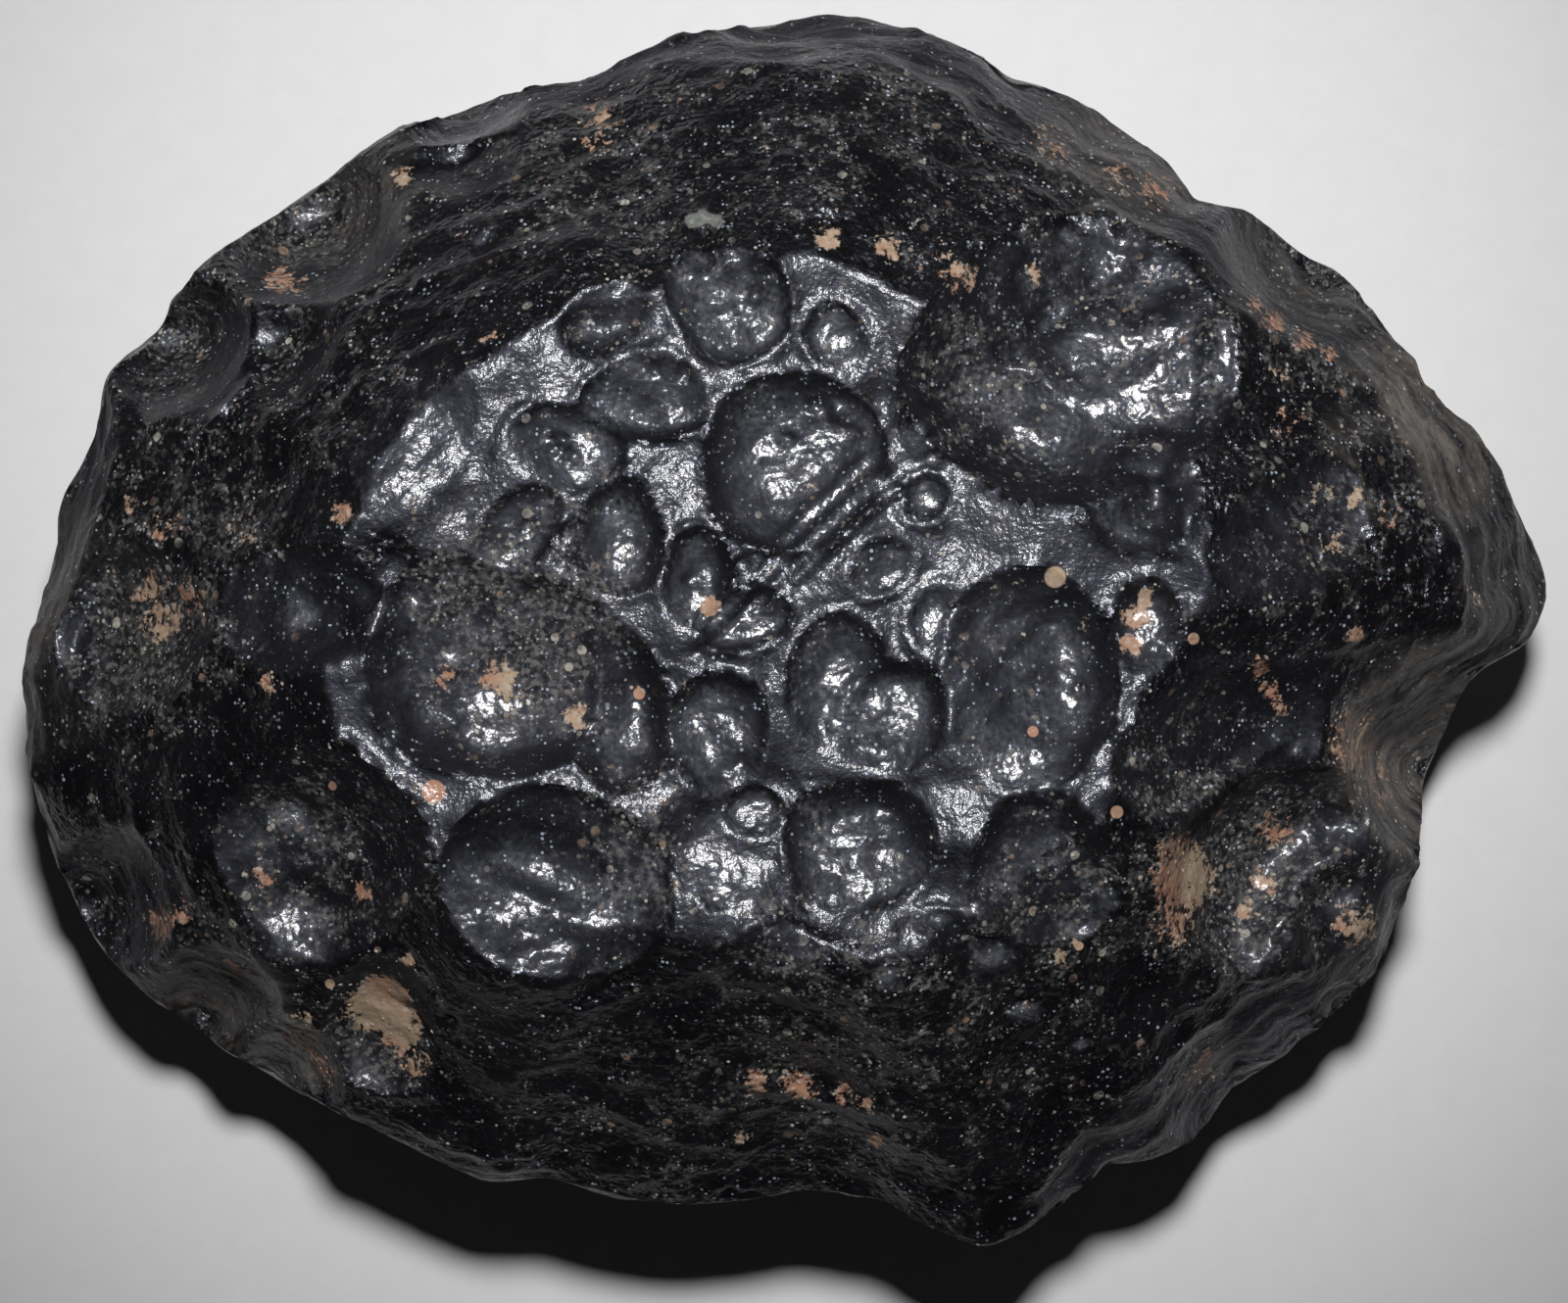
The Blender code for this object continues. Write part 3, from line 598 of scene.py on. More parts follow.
def roughen(points, normals, directions, pitted):
    """Raise lumps everywhere, layered flow lines on the steep sides and drawn lines on the crown."""
    x, y, z = points.T
    steep = np.clip((0.86 - normals[:, 2]) / 0.35, 0, 1)
    lumps = sum(height * grain(x, y, z, length) for height, length in LUMPS)
    sloping = np.clip((0.93 - normals[:, 2]) / 0.15, 0, 1)
    knobbly = np.clip(0.2 + 1.6 * grain(x + 9, y, z, 2.2), 0, 1.4)
    lumps = lumps * (1 + 1.5 * sloping * knobbly)
    broad_lumps = PIT_LUMP_HEIGHT * grain(x, y + 3, z, PIT_LUMP_LENGTH)
    fine_lumps = FINE_PIT_LUMP_HEIGHT * grain(x, y, z + 3, FINE_PIT_LUMP_LENGTH)
    lumps = lumps + pitted * (broad_lumps + fine_lumps)
    along = np.arctan2(y, x) * 22
    strands = 1 - 2 * np.abs(grain(along / 6, z + along * 0.15, x * 0, 1.7))
    threads = grain(along / 5, z - along * 0.10, x * 0, 0.45)
    flow = STRAND_HEIGHT * strands * np.clip(0.6 + grain(x, y, z, 2.7), 0.1, 1) + THREAD_HEIGHT * threads
    below = np.clip(-directions[:, 2] * 8, 0, 1)
    height = (lumps * (1 - 0.45 * steep) + flow * steep) * (1 - 0.5 * below)
    height += drawn_relief(x, y, z) * (directions[:, 2] > 0)
    off_rim = np.clip(np.abs(directions[:, 2]) / 0.05, 0.3, 1)
    off_base = np.clip(z / 0.8, 0, 1)
    return points + normals * (height * off_rim * off_base)[:, None]


def point_normals(mesh):
    normals = np.empty(len(mesh.vertices) * 3)
    mesh.vertex_normals.foreach_get("vector", normals)
    return normals.reshape(-1, 3)


def glaze_attributes(mesh, points, directions, upward, pitted):
    """Store on every point how much clay and dust it carries, how chipped and how bubbly it is, and where the
    painted sheen, the painted rim reflection and the wall powder with painted reflection go.
    """
    x, y, z = points.T
    facing_up = np.clip(upward * 1.6, 0, 1)
    # A pale band along the rim edge, broken up by noise: painted reflection of the paper.
    from_rim = (1 - np.sqrt(np.clip(1 - directions[:, 2] ** 2, 0, 1))) / PALE_RIM_SHARE
    rim_gleam_breakup = np.clip(0.45 + 1.2 * grain(x, y, z, 1.6), 0, 1)
    pale = patches(x, y, CHIPS) + 1.2 * np.exp(-from_rim**2) * rim_gleam_breakup
    wet = np.maximum(pitted, np.minimum(patches(x, y, WET_SPOTS), 1) ** 2)
    # Painted sheen mask: mottled, and lighter where the glass faces up.
    mottling = np.clip(0.45 + 1.5 * grain(x + 2, y, z, 2.2), 0, 1)
    level = np.clip((upward - 0.80) / 0.14, 0.25, 1) * mottling
    wall = np.clip((0.78 - upward) / 0.3, 0, 1)
    off_flat = np.clip((0.96 - upward) / 0.10, 0, 1) * (1 - wet)
    patchy = np.clip(0.75 + 1.6 * grain(x + 5, y, z, 1.8), 0.1, 1.6)
    banded = np.clip(0.55 + 1.5 * grain(x, y + 7, z, 2.6), 0.05, 1)
    # Powder on the steep walls: partly real powder, partly painted reflection of the paper.
    powder_and_reflection = np.clip((0.80 - upward) / 0.3, 0, 1) * (0.01 + patches(x, y, WALL_DUST_AND_REFLECTION))
    for name, amount in (
        ("sparkling", 0.92 - 0.50 * wet + 0.9 * off_flat * patchy),
        ("pimpled", 0.45 + 0.25 * wet + 2.1 * off_flat * patchy),
        ("satin", 1 + 0.40 * wet - 0.80 * off_flat),
        ("clay", patches(x, y, CLAY) * (z > CLAY_ABOVE)),
        ("dust", (0.18 + patches(x, y, DUST)) * facing_up),
        # pale: chips with painted highlight, and the painted reflection along the rim edge
        ("pale", pale * (z > PALE_ABOVE)),
        ("steep", np.clip((0.62 - upward) / 0.3, 0, 1) * banded),
        ("painted_sheen", wet * level),
        ("lacquered", 1 - 0.9 * wall),
        # powder: partly real powder, partly painted reflection of the paper on the walls
        ("powder", powder_and_reflection * (z > PALE_ABOVE)),
        ("bubbly", np.clip(0.35 + 0.9 * grain(x, y, z, 3.0), 0.05, 1) * facing_up),
    ):
        layer = mesh.attributes.new(name, "FLOAT", "POINT")
        layer.data.foreach_set("value", amount.astype(np.float32))


def body_mesh():
    bm = bmesh.new()
    bmesh.ops.create_icosphere(bm, subdivisions=SPHERE_STEPS, radius=1)
    mesh = bpy.data.meshes.new("tektite_body")
    bm.to_mesh(mesh)
    bm.free()
    directions = np.empty(len(mesh.vertices) * 3)
    mesh.vertices.foreach_get("co", directions)
    directions = directions.reshape(-1, 3)
    directions /= np.linalg.norm(directions, axis=1)[:, None]
    points, pitted = shape_body(directions)
    mesh.vertices.foreach_set("co", points.ravel())
    mesh.update()
    points = hollow_belly(points, point_normals(mesh), directions)
    points[:, 2] = np.maximum(points[:, 2], 0)
    mesh.vertices.foreach_set("co", points.ravel())
    mesh.update()
    normals = point_normals(mesh)
    points = roughen(points, normals, directions, pitted)
    mesh.vertices.foreach_set("co", (points * MM).ravel())
    mesh.update()
    glaze_attributes(mesh, points, directions, normals[:, 2], pitted)
    return mesh


# ---------------------------------------------------------------- node helpers
def link_into(tree, node_type, inputs=None, **settings):
    """Add a node, set its options and feed its inputs from values or from other sockets."""
    node = tree.nodes.new(node_type)
    for name, value in settings.items():
        setattr(node, name, value)
    for key, value in (inputs or {}).items():
        if isinstance(value, bpy.types.NodeSocket):
            tree.links.new(value, node.inputs[key])
        else:
            node.inputs[key].default_value = value
    return node


def new_tree(name, sizes):
    """A geometry tree with a Geometry input, one named input for each size, and a Geometry output."""
    tree = bpy.data.node_groups.new(name, "GeometryNodeTree")
    tree.interface.new_socket("Geometry", in_out="INPUT", socket_type="NodeSocketGeometry")
    for label, value in sizes.items():
        kind = "NodeSocketInt" if isinstance(value, int) else "NodeSocketFloat"
        socket = tree.interface.new_socket(label, in_out="INPUT", socket_type=kind)
        socket.default_value = value
    tree.interface.new_socket("Geometry", in_out="OUTPUT", socket_type="NodeSocketGeometry")
    return tree, tree.nodes.new("NodeGroupInput"), tree.nodes.new("NodeGroupOutput")


def grown(owner, tree, sizes):
    """Run a geometry tree on an object with the given sizes and return the resulting plain mesh."""
    modifier = owner.modifiers.new(tree.name, "NODES")
    modifier.node_group = tree
    identifiers = {item.name: item.identifier for item in tree.interface.items_tree if item.in_out == "INPUT"}
    for label, value in sizes.items():
        modifier[identifiers[label]] = value
    mesh = plain_mesh(owner)
    owner.modifiers.clear()
    return mesh


def plain_mesh(owner):
    depsgraph = bpy.context.evaluated_depsgraph_get()
    return bpy.data.meshes.new_from_object(owner.evaluated_get(depsgraph), depsgraph=depsgraph)


def maths(tree, operation, first, second=0.0, third=0.0, clamp=False):
    inputs = {0: first, 1: second, 2: third}
    return link_into(tree, "ShaderNodeMath", inputs, operation=operation, use_clamp=clamp).outputs[0]


def times(tree, first, second):
    return maths(tree, "MULTIPLY", first, second)


def times_plus(tree, first, second, third):
    return maths(tree, "MULTIPLY_ADD", first, second, third)


def higher(tree, first, second):
    return maths(tree, "MAXIMUM", first, second)


def point_layer(tree, name):
    return link_into(tree, "GeometryNodeInputNamedAttribute", {"Name": name}, data_type="FLOAT").outputs[0]


def chance_of(tree, seed, **ids):
    """A random value from 0 to 1 for each point."""
    inputs = {2: 0.0, 3: 1.0, **ids, "Seed": seed}
    return link_into(tree, "FunctionNodeRandomValue", inputs, data_type="FLOAT").outputs[1]


def close_tree(tree, geometry, material, out):
    """End a tree with real geometry that carries the material."""
    real = link_into(tree, "GeometryNodeRealizeInstances", {"Geometry": geometry})
    skin = link_into(tree, "GeometryNodeSetMaterial", {"Geometry": real.outputs[0], "Material": material})
    tree.links.new(skin.outputs[0], out.inputs["Geometry"])
    return tree


# ---------------------------------------------------------------- geometry trees
BUBBLE_SIZES = {
    "Bubbles Per Square Metre": 1.1e6,
    "Smallest Radius": 0.00009,
    "Largest Radius": 0.00048,
    "Deepest Share": 0.46,
    "Highest Share": 0.34,
    "Seed": 7,
}


def bubble_tree(material):
    """Dent and blister the surface with many tiny bubbles, more where it is bubbly."""
    tree, given, out = new_tree("burst_bubbles", BUBBLE_SIZES)
    sizes = given.outputs
    density = times(tree, point_layer(tree, "bubbly"), sizes["Bubbles Per Square Metre"])
    spots = link_into(
        tree, "GeometryNodeDistributePointsOnFaces",
        {"Mesh": sizes["Geometry"], "Density": density, "Seed": sizes["Seed"]},
    )
    bias = maths(tree, "POWER", chance_of(tree, sizes["Seed"]), 1.9)
    span = maths(tree, "SUBTRACT", sizes["Largest Radius"], sizes["Smallest Radius"])
    radius = times_plus(tree, bias, span, sizes["Smallest Radius"])
    kept = link_into(
        tree, "GeometryNodeStoreNamedAttribute",
        {"Geometry": spots.outputs["Points"], "Name": "bubble_radius", "Value": radius},
        data_type="FLOAT", domain="POINT",
    )
    place = link_into(tree, "GeometryNodeInputPosition")
    near = link_into(
        tree, "GeometryNodeProximity",
        {"Geometry": kept.outputs[0], "Sample Position": place.outputs[0]}, target_element="POINTS",
    )
    nearest = link_into(
        tree, "GeometryNodeSampleNearest",
        {"Geometry": kept.outputs[0], "Sample Position": place.outputs[0]}, domain="POINT",
    )
    taken = link_into(
        tree, "GeometryNodeSampleIndex",
        {
            "Geometry": kept.outputs[0],
            "Value": point_layer(tree, "bubble_radius"),
            "Index": nearest.outputs[0],
        },
        data_type="FLOAT", domain="POINT",
    )
    share = maths(tree, "DIVIDE", near.outputs["Distance"], taken.outputs[0])
    square = times(tree, share, share)
    bowl = maths(tree, "SUBTRACT", 1.0, square, clamp=True)
    luck = chance_of(tree, 5, ID=nearest.outputs[0])
    swing = maths(tree, "ADD", sizes["Deepest Share"], sizes["Highest Share"])
    way = maths(tree, "SUBTRACT", times(tree, luck, swing), sizes["Highest Share"])
    depth = times(tree, times(tree, bowl, taken.outputs[0]), way)
    normal = link_into(tree, "GeometryNodeInputNormal")
    inward = link_into(
        tree, "ShaderNodeVectorMath",
        {0: normal.outputs[0], "Scale": times(tree, depth, -1.0)}, operation="SCALE",
    )
    dented = link_into(
        tree, "GeometryNodeSetPosition", {"Geometry": sizes["Geometry"], "Offset": inward.outputs[0]},
    )
    return close_tree(tree, dented.outputs[0], material, out)


CRUMB_SIZES = {
    "Crumbs Per Square Metre": 5.0e6,
    "Smallest Crumb": 0.000022,
    "Largest Crumb": 0.000085,
    "Seed": 11,
}


def crumb_tree(material):
    """Scatter small flattened crumbs where clay and dust lie."""
    tree, given, out = new_tree("clay_crumbs", CRUMB_SIZES)
    sizes = given.outputs
    dust_share = times(tree, maths(tree, "POWER", point_layer(tree, "dust"), 2.0), 0.22)
    clay_share = maths(tree, "MINIMUM", point_layer(tree, "clay"), 1.0)
    density = maths(
        tree, "MULTIPLY", maths(tree, "ADD", clay_share, dust_share), sizes["Crumbs Per Square Metre"],
    )
    spots = link_into(
        tree, "GeometryNodeDistributePointsOnFaces",
        {"Mesh": sizes["Geometry"], "Density": density, "Seed": sizes["Seed"]},
    )
    crumb = link_into(tree, "GeometryNodeMeshIcoSphere", {"Radius": 1.0, "Subdivisions": 1})
    bias = maths(tree, "POWER", chance_of(tree, sizes["Seed"]), 3.0)
    span = maths(tree, "SUBTRACT", sizes["Largest Crumb"], sizes["Smallest Crumb"])
    radius = times_plus(tree, bias, span, sizes["Smallest Crumb"])
    flat = times(tree, radius, 0.45)
    scale = link_into(tree, "ShaderNodeCombineXYZ", {0: radius, 1: radius, 2: flat})
    placed = link_into(
        tree, "GeometryNodeInstanceOnPoints",
        {
            "Points": spots.outputs["Points"],
            "Instance": crumb.outputs["Mesh"],
            "Rotation": spots.outputs["Rotation"],
            "Scale": scale.outputs[0],
        },
    )
    return close_tree(tree, placed.outputs[0], material, out)


# ---------------------------------------------------------------- materials
def new_material(name):
    material = bpy.data.materials.new(name)
    material.use_nodes = True
    tree = material.node_tree
    shader = tree.nodes["Principled BSDF"]
    where = tree.nodes.new("ShaderNodeTexCoord").outputs["Object"]
    return material, tree, shader, where


def soft_noise(tree, where, scale, detail=2.0, roughness=0.5):
    node = link_into(
        tree, "ShaderNodeTexNoise",
        {"Vector": where, "Scale": scale, "Detail": detail, "Roughness": roughness},
    )
    return node.outputs["Fac"]


def ramp(tree, value, low, high):
    """0 below low and 1 above high, with a straight run between."""
    node = link_into(
        tree, "ShaderNodeMapRange", {"Value": value, "From Min": low, "From Max": high}, clamp=True,
    )
    return node.outputs["Result"]


def mixed(tree, amount, first, second):
    node = tree.nodes.new("ShaderNodeMix")
    node.data_type = "RGBA"
    node.clamp_factor = True
    sockets = {item.identifier: item for item in node.inputs}
    for key, value in (("Factor_Float", amount), ("A_Color", first), ("B_Color", second)):
        if isinstance(value, bpy.types.NodeSocket):
            tree.links.new(value, sockets[key])
        else:
            sockets[key].default_value = value
    return {item.identifier: item for item in node.outputs}["Result_Color"]


def stored(tree, name):
    node = link_into(tree, "ShaderNodeAttribute", attribute_name=name, attribute_type="GEOMETRY")
    return node.outputs["Fac"]


def specks(tree, where, scale, largest, share, offset):
    """Small round grains: one in each cell, of random size, with only a share of cells holding one."""
    shift = (offset, offset * 0.7, offset * 1.3)
    moved = link_into(tree, "ShaderNodeVectorMath", {0: where, 1: shift}, operation="ADD")
    cells = link_into(
        tree, "ShaderNodeTexVoronoi", {"Vector": moved.outputs[0], "Scale": scale, "Randomness": 1.0},
    )
    luck = link_into(tree, "ShaderNodeSeparateColor", {"Color": cells.outputs["Color"]})
    size = times(tree, maths(tree, "POWER", luck.outputs[0], 2.0), largest)
    held = maths(tree, "LESS_THAN", luck.outputs[1], share)
    inside = ramp(tree, maths(tree, "SUBTRACT", size, cells.outputs["Distance"]), 0.0, 0.06)
    return times(tree, inside, held), luck.outputs[2]


BLACK_GLASS = (0.0032, 0.0032, 0.0038, 1)
SMOKY_GLASS = (0.0085, 0.0085, 0.0100, 1)
# Painted sheen: a mottled grey that stands in for the broad lamp highlight on wet glass that faces up.
PAINTED_SHEEN_GREY = (0.058, 0.060, 0.065, 1)
GREY_DUST = (0.125, 0.121, 0.113, 1)
# Brownish wall powder, partly painted reflection of the paper on the steep walls.
WALL_POWDER_AND_REFLECTION = (0.175, 0.155, 0.135, 1)
CREAM_GRAIN = (0.46, 0.43, 0.37, 1)
TAN_GRAIN = (0.27, 0.185, 0.125, 1)
SALMON_CLAY = (0.40, 0.205, 0.130, 1)
TAN_CLAY = (0.43, 0.315, 0.215, 1)
# Pale chips with painted highlight, and the painted reflection of the paper along the rim edge.
PALE_CHIP_AND_RIM_GLEAM = (0.30, 0.31, 0.29, 1)
# Painted glints: cool pale specks that stand in for tiny highlights of the lamp.
PAINTED_GLINT_BLUE = (0.38, 0.43, 0.52, 1)
PAPER_GREY = (0.70, 0.70, 0.70, 1)
PAPER_WHITE = (0.76, 0.76, 0.765, 1)


def round_drops(tree, where):
    """1 inside the round drops of clay on the crown and 0 elsewhere."""
    level = link_into(tree, "ShaderNodeVectorMath", {0: where, 1: (1, 1, 0)}, operation="MULTIPLY")
    up = link_into(tree, "ShaderNodeSeparateXYZ", {"Vector": where}).outputs["Z"]
    inside = 0.0
    for x, y, radius in ROUND_SPOTS:
        gap = link_into(
            tree, "ShaderNodeVectorMath", {0: level.outputs[0], 1: (x * MM, y * MM, 0)}, operation="DISTANCE",
        )
        drop = ramp(tree, gap.outputs["Value"], radius * MM, radius * MM * 0.85)
        inside = higher(tree, inside, drop)
    return times(tree, inside, maths(tree, "GREATER_THAN", up, DROPS_ABOVE))


def black_glass():
    material, tree, shader, where = new_material("black_glass")
    clay, dust, pale = stored(tree, "clay"), stored(tree, "dust"), stored(tree, "pale")

    cloud = soft_noise(tree, where, 420, 4.0, 0.6)
    glass = mixed(tree, ramp(tree, cloud, 0.4, 0.7), BLACK_GLASS, SMOKY_GLASS)

    mottle = soft_noise(tree, where, 5200, 2.0, 0.55)
    drift = soft_noise(tree, where, 1100, 3.0, 0.6)
    # Painted sheen: mottled grey on wet glass that faces up, standing in for the broad highlight of the lamp.
    painted_sheen = times(tree, ramp(tree, drift, 0.34, 0.58), ramp(tree, mottle, 0.38, 0.60))
    glass = mixed(tree, times(tree, painted_sheen, stored(tree, "painted_sheen")), glass, PAINTED_SHEEN_GREY)
    heaped = times_plus(tree, drift, 2.6, times_plus(tree, cloud, 1.2, dust))
    thick = ramp(tree, heaped, 2.00, 2.80)
    blots = soft_noise(tree, where, 3600, 3.0, 0.6)
    film_edge = times_plus(tree, thick, -0.20, 0.70)
    film = ramp(tree, maths(tree, "SUBTRACT", mottle, film_edge), 0.0, 0.12)
    mould = ramp(tree, maths(tree, "SUBTRACT", blots, film_edge), -0.06, 0.20)
    film = higher(tree, film, times(tree, mould, 0.6))
    film = times(tree, film, times_plus(tree, thick, 0.80, 0.10))

    fine, fine_tint = specks(tree, where, 5600, 0.52, 0.24, 0.10)
    coarse, coarse_tint = specks(tree, where, 2300, 0.46, 0.24, 0.113)
    grains = times(tree, higher(tree, fine, coarse), thick)
    # Painted glints: cool pale specks in patches, standing in for tiny lamp highlights on the dark slopes.
    painted_glints, _ = specks(tree, where, 6800, 0.46, 0.44, 0.121)
    painted_glints = times(tree, painted_glints, ramp(tree, drift, 0.42, 0.60))

    crumbled = soft_noise(tree, where, 2600, 4.0, 0.75)
    caked = ramp(tree, maths(tree, "ADD", clay, times(tree, crumbled, 3.6)), 2.35, 2.62)
    # Pale chips with painted highlight, and the painted reflection along the rim edge.
    chips_and_rim_gleam = ramp(tree, maths(tree, "ADD", pale, times(tree, crumbled, 1.2)), 1.05, 1.45)

    flattened = link_into(tree, "ShaderNodeMapping", {"Vector": where, "Scale": (0.6, 0.6, 2.2)})
    streaks = soft_noise(tree, flattened.outputs[0], 620, 5.0, 0.68)
    layered = times(tree, stored(tree, "steep"), maths(tree, "SUBTRACT", streaks, 0.5))
    streaked = times(tree, ramp(tree, streaks, 0.36, 0.66), times(tree, blots, 2.2))
    # Wall powder in streaks: partly real powder, partly painted reflection of the paper.
    powder = times(tree, stored(tree, "powder"), streaked)
    colour = mixed(tree, powder, glass, WALL_POWDER_AND_REFLECTION)
    colour = mixed(tree, film, colour, GREY_DUST)
    colour = mixed(tree, painted_glints, colour, PAINTED_GLINT_BLUE)
    pale_strength = times_plus(tree, ramp(tree, pale, 1.3, 1.8), 0.5, 0.5)
    colour = mixed(tree, times(tree, chips_and_rim_gleam, pale_strength), colour, PALE_CHIP_AND_RIM_GLEAM)
    grain_colour = mixed(tree, ramp(tree, coarse_tint, 0.45, 0.75), CREAM_GRAIN, TAN_GRAIN)
    grain_strength = times(tree, grains, times_plus(tree, fine_tint, 0.60, 0.35))
    colour = mixed(tree, grain_strength, colour, grain_colour)
    clay_colour = mixed(tree, ramp(tree, soft_noise(tree, where, 260, 3.0), 0.42, 0.6), SALMON_CLAY, TAN_CLAY)
    clay_colour = mixed(tree, ramp(tree, mottle, 0.58, 0.72), clay_colour, CREAM_GRAIN)
    colour = mixed(tree, times(tree, caked, 0.93), colour, clay_colour)
    drops = round_drops(tree, where)
    colour = mixed(tree, drops, colour, clay_colour)
    tree.links.new(colour, shader.inputs["Base Color"])

    matt = higher(tree, higher(tree, grains, caked), higher(tree, film, drops))
    matt = higher(tree, matt, times(tree, stored(tree, "powder"), 0.5))
    dry_streaks = times(tree, stored(tree, "steep"), ramp(tree, streaks, 0.75, 0.35))
    matt = higher(tree, matt, dry_streaks)
    sheen_patch = ramp(tree, soft_noise(tree, where, 6500, 2.0), 0.35, 0.65)
    smooth = times_plus(tree, sheen_patch, 0.14, 0.25)
    smooth = times_plus(tree, stored(tree, "satin"), 0.21, smooth)
    roughness = link_into(tree, "ShaderNodeMix", data_type="FLOAT", clamp_factor=True)
    tree.links.new(matt, roughness.inputs[0])
    tree.links.new(smooth, roughness.inputs[2])
    roughness.inputs[3].default_value = 0.9
    tree.links.new(roughness.outputs[0], shader.inputs["Roughness"])
    shader.inputs["IOR"].default_value = 1.5
    shader.inputs["Specular Tint"].default_value = (0.77, 0.80, 1.0, 1)
    tree.links.new(times(tree, stored(tree, "lacquered"), 0.50), shader.inputs["Coat Weight"])
    shader.inputs["Coat Roughness"].default_value = 0.19

    sparkle = maths(tree, "SUBTRACT", soft_noise(tree, where, 7500, 2.0, 0.55), 0.5)
    sparkle = times(tree, sparkle, stored(tree, "sparkling"))
    pimples = maths(tree, "SUBTRACT", soft_noise(tree, where, 2600, 1.0, 0.5), 0.5)
    pimples = times(tree, pimples, stored(tree, "pimpled"))
    relief = times_plus(tree, pimples, 2.6, sparkle)
    caking = times(tree, maths(tree, "MINIMUM", clay, 1.0), pimples)
    relief = times_plus(tree, caking, 2.0, relief)
    relief = times_plus(tree, layered, 4.0, relief)
    bump = link_into(tree, "ShaderNodeBump", {"Strength": 1.0, "Distance": 0.000022, "Height": relief})
    tree.links.new(bump.outputs[0], shader.inputs["Normal"])
    wet_relief = times_plus(tree, pimples, 2.6, sparkle)
    wet_relief = times_plus(tree, layered, 3.0, wet_relief)
    wet = link_into(tree, "ShaderNodeBump", {"Strength": 1.0, "Distance": 0.000026, "Height": wet_relief})
    tree.links.new(wet.outputs[0], shader.inputs["Coat Normal"])
    return material


def dried_clay():
    material, tree, shader, where = new_material("dried_clay")
    tone = mixed(tree, ramp(tree, soft_noise(tree, where, 900, 3.0), 0.35, 0.65), SALMON_CLAY, TAN_CLAY)
    dusty = ramp(tree, stored(tree, "clay"), 0.35, 0.05)
    pale_grains = ramp(tree, soft_noise(tree, where, 3800, 2.0), 0.5, 0.7)
    tone = mixed(tree, higher(tree, dusty, pale_grains), tone, CREAM_GRAIN)
    tree.links.new(tone, shader.inputs["Base Color"])
    shader.inputs["Roughness"].default_value = 0.95
    shader.inputs["Specular IOR Level"].default_value = 0.2
    powder = soft_noise(tree, where, 9000, 3.0)
    bump = link_into(tree, "ShaderNodeBump", {"Strength": 0.6, "Distance": 0.00002, "Height": powder})
    tree.links.new(bump.outputs[0], shader.inputs["Normal"])
    return material


def white_paper():
    material, tree, shader, where = new_material("white_paper")
    tooth = soft_noise(tree, where, 900, 4.0, 0.6)
    tone = mixed(tree, tooth, PAPER_GREY, PAPER_WHITE)
    tree.links.new(tone, shader.inputs["Base Color"])
    shader.inputs["Roughness"].default_value = 0.9
    shader.inputs["Specular IOR Level"].default_value = 0.2
    bump = link_into(tree, "ShaderNodeBump", {"Strength": 0.25, "Distance": 0.0001, "Height": tooth})
    tree.links.new(bump.outputs[0], shader.inputs["Normal"])
    return material


# ---------------------------------------------------------------- pieces
def show(name, mesh):
    thing = bpy.data.objects.new(name, mesh)
    bpy.context.scene.collection.objects.link(thing)
    return thing


def make_body():
    glass = black_glass()
    body = show("tektite_body", body_mesh())
    mesh = grown(body, bubble_tree(glass), BUBBLE_SIZES)
    body.data = mesh
    thin = body.modifiers.new("thin_out", "DECIMATE")
    thin.ratio = min(1.0, BODY_TRIANGLES / len(mesh.polygons))
    body.data = plain_mesh(body)
    body.modifiers.clear()
    body.data.name = "tektite_body"
    body.data.materials.clear()
    body.data.materials.append(glass)
    body.data.shade_smooth()
    body.data.set_sharp_from_angle(angle=CREASE_ANGLE)
    return body


def make_crumbs(body):
    clay = dried_clay()
    ground = show("clay_crumbs", body.data.copy())
    mesh = grown(ground, crumb_tree(clay), CRUMB_SIZES)
    ground.data = mesh
    mesh.name = "clay_crumbs"
    mesh.materials.clear()
    mesh.materials.append(clay)
    mesh.shade_smooth()
    return ground


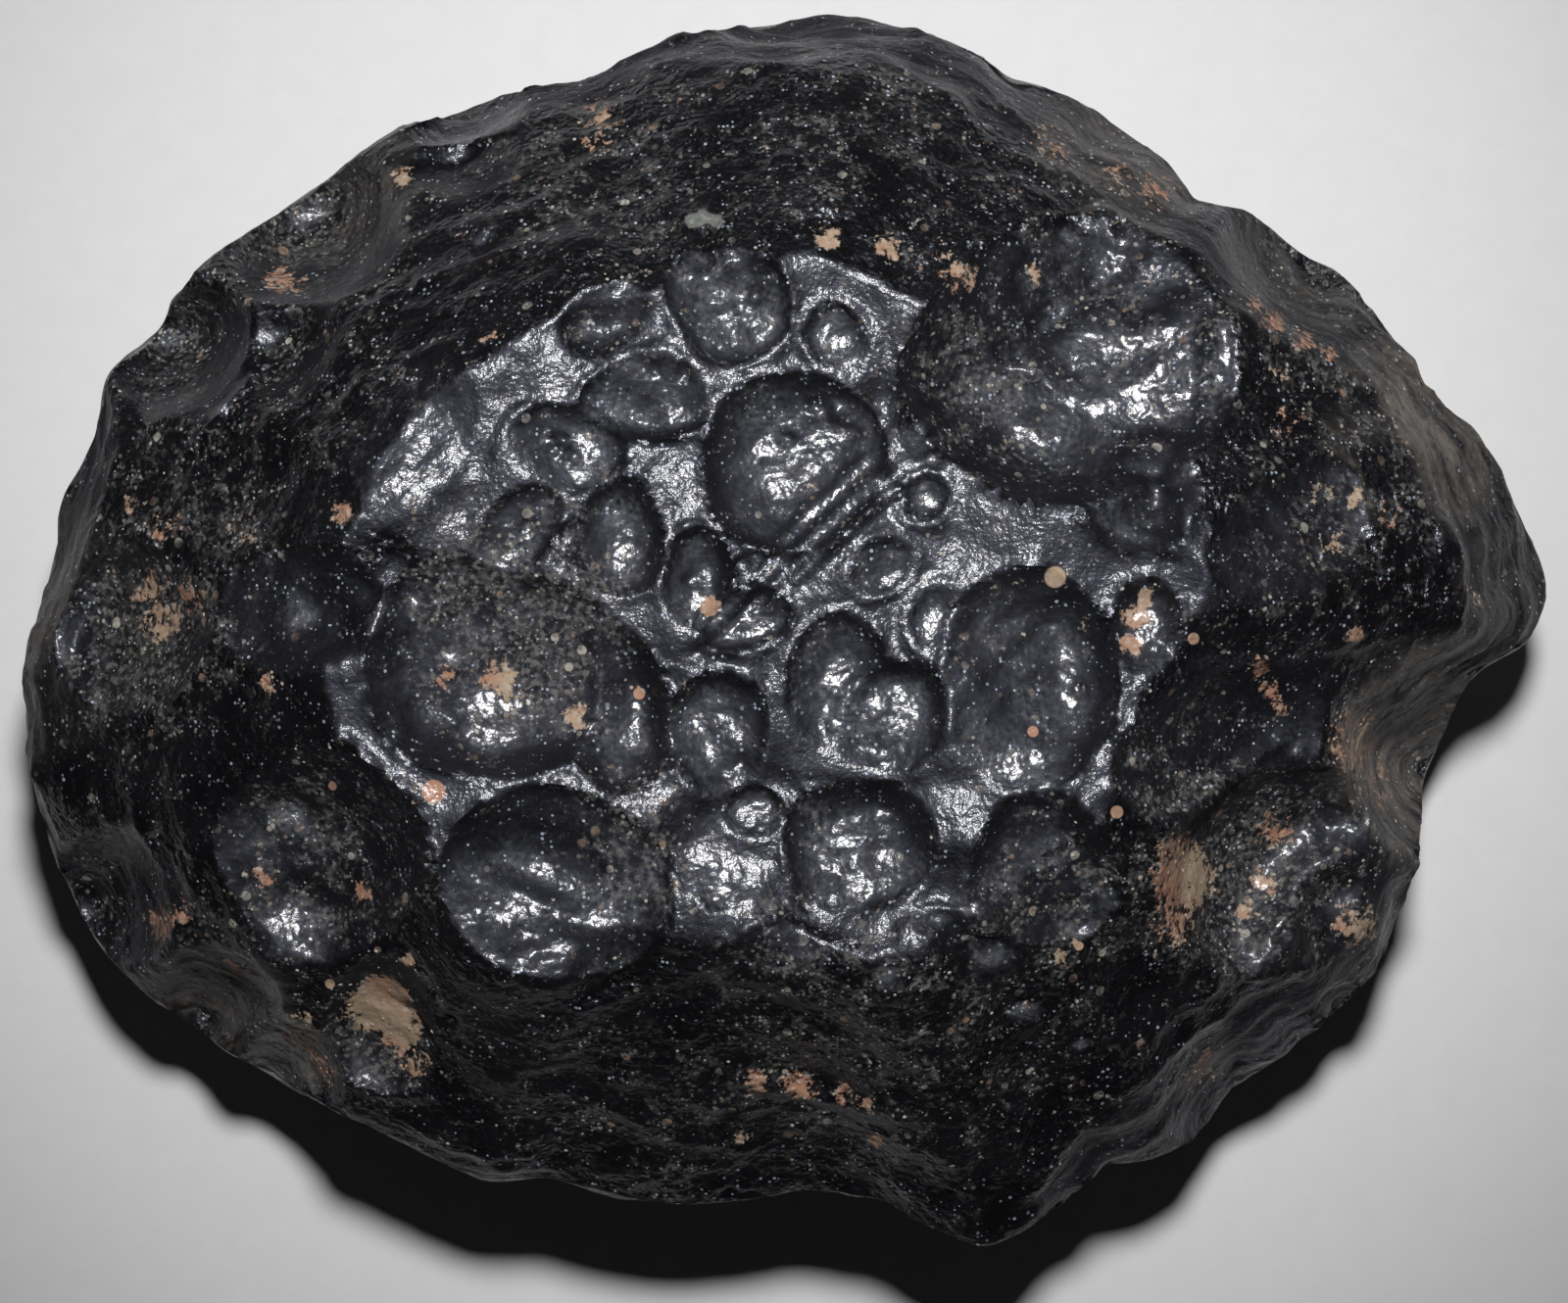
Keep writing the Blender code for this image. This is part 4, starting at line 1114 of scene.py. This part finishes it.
def make_floor():
    bm = bmesh.new()
    bmesh.ops.create_grid(bm, x_segments=2, y_segments=2, size=FLOOR_HALF_WIDTH * MM)
    mesh = bpy.data.meshes.new("paper")
    bm.to_mesh(mesh)
    bm.free()
    mesh.materials.append(white_paper())
    return show("paper", mesh)


def aim(thing, target):
    thing.rotation_euler = (Vector(target) - thing.location).to_track_quat("-Z", "Y").to_euler()


def flash_light(place, target, radius, spread, power):
    """A round lamp that is brightest in the middle of its beam and fades evenly outward."""
    lamp = bpy.data.lights.new("flash", "SPOT")
    lamp.shadow_soft_size = radius
    lamp.spot_size = spread
    lamp.spot_blend = 1.0
    lamp.energy = power
    holder = bpy.data.objects.new("flash", lamp)
    bpy.context.scene.collection.objects.link(holder)
    holder.location = place
    aim(holder, target)


CAMERA_X = -0.1
CAMERA_Y = -0.81
CAMERA_HEIGHT = 330
CAMERA_NEAR = 10
FRAME_WIDTH = 50.96
SENSOR_WIDTH = 36
FLASH_TARGET = (0.0, 9.0, 0.0)
FLASH_RADIUS = 21
FLASH_SPREAD = math.radians(18.0)
FLASH_POWER = 6.15
STUDIO_GREY = (0.010, 0.010, 0.010, 1)


def set_camera():
    data = bpy.data.cameras.new("camera")
    data.sensor_width = SENSOR_WIDTH
    data.lens = SENSOR_WIDTH * CAMERA_HEIGHT / FRAME_WIDTH
    data.clip_start = CAMERA_NEAR * MM
    camera = bpy.data.objects.new("camera", data)
    bpy.context.scene.collection.objects.link(camera)
    camera.location = Vector((CAMERA_X, CAMERA_Y, CAMERA_HEIGHT + RIM_HEIGHT)) * MM
    bpy.context.scene.camera = camera


def set_light():
    place, target = Vector(LAMP_PLACE) * MM, Vector(FLASH_TARGET) * MM
    flash_light(place, target, FLASH_RADIUS * MM, FLASH_SPREAD, FLASH_POWER)
    world = bpy.data.worlds.new("studio")
    bpy.context.scene.world = world
    world.use_nodes = True
    world.node_tree.nodes["Background"].inputs["Color"].default_value = STUDIO_GREY
    bpy.context.scene.view_settings.view_transform = "Standard"


def main():
    set_camera()
    set_light()
    floor = make_floor()
    body = make_body()
    crumbs = make_crumbs(body)
    for piece in (body, crumbs):
        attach(piece, "root")
    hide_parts("tektite")
    print("triangles:", {piece.name: len(piece.data.polygons) for piece in (body, crumbs)})


main()
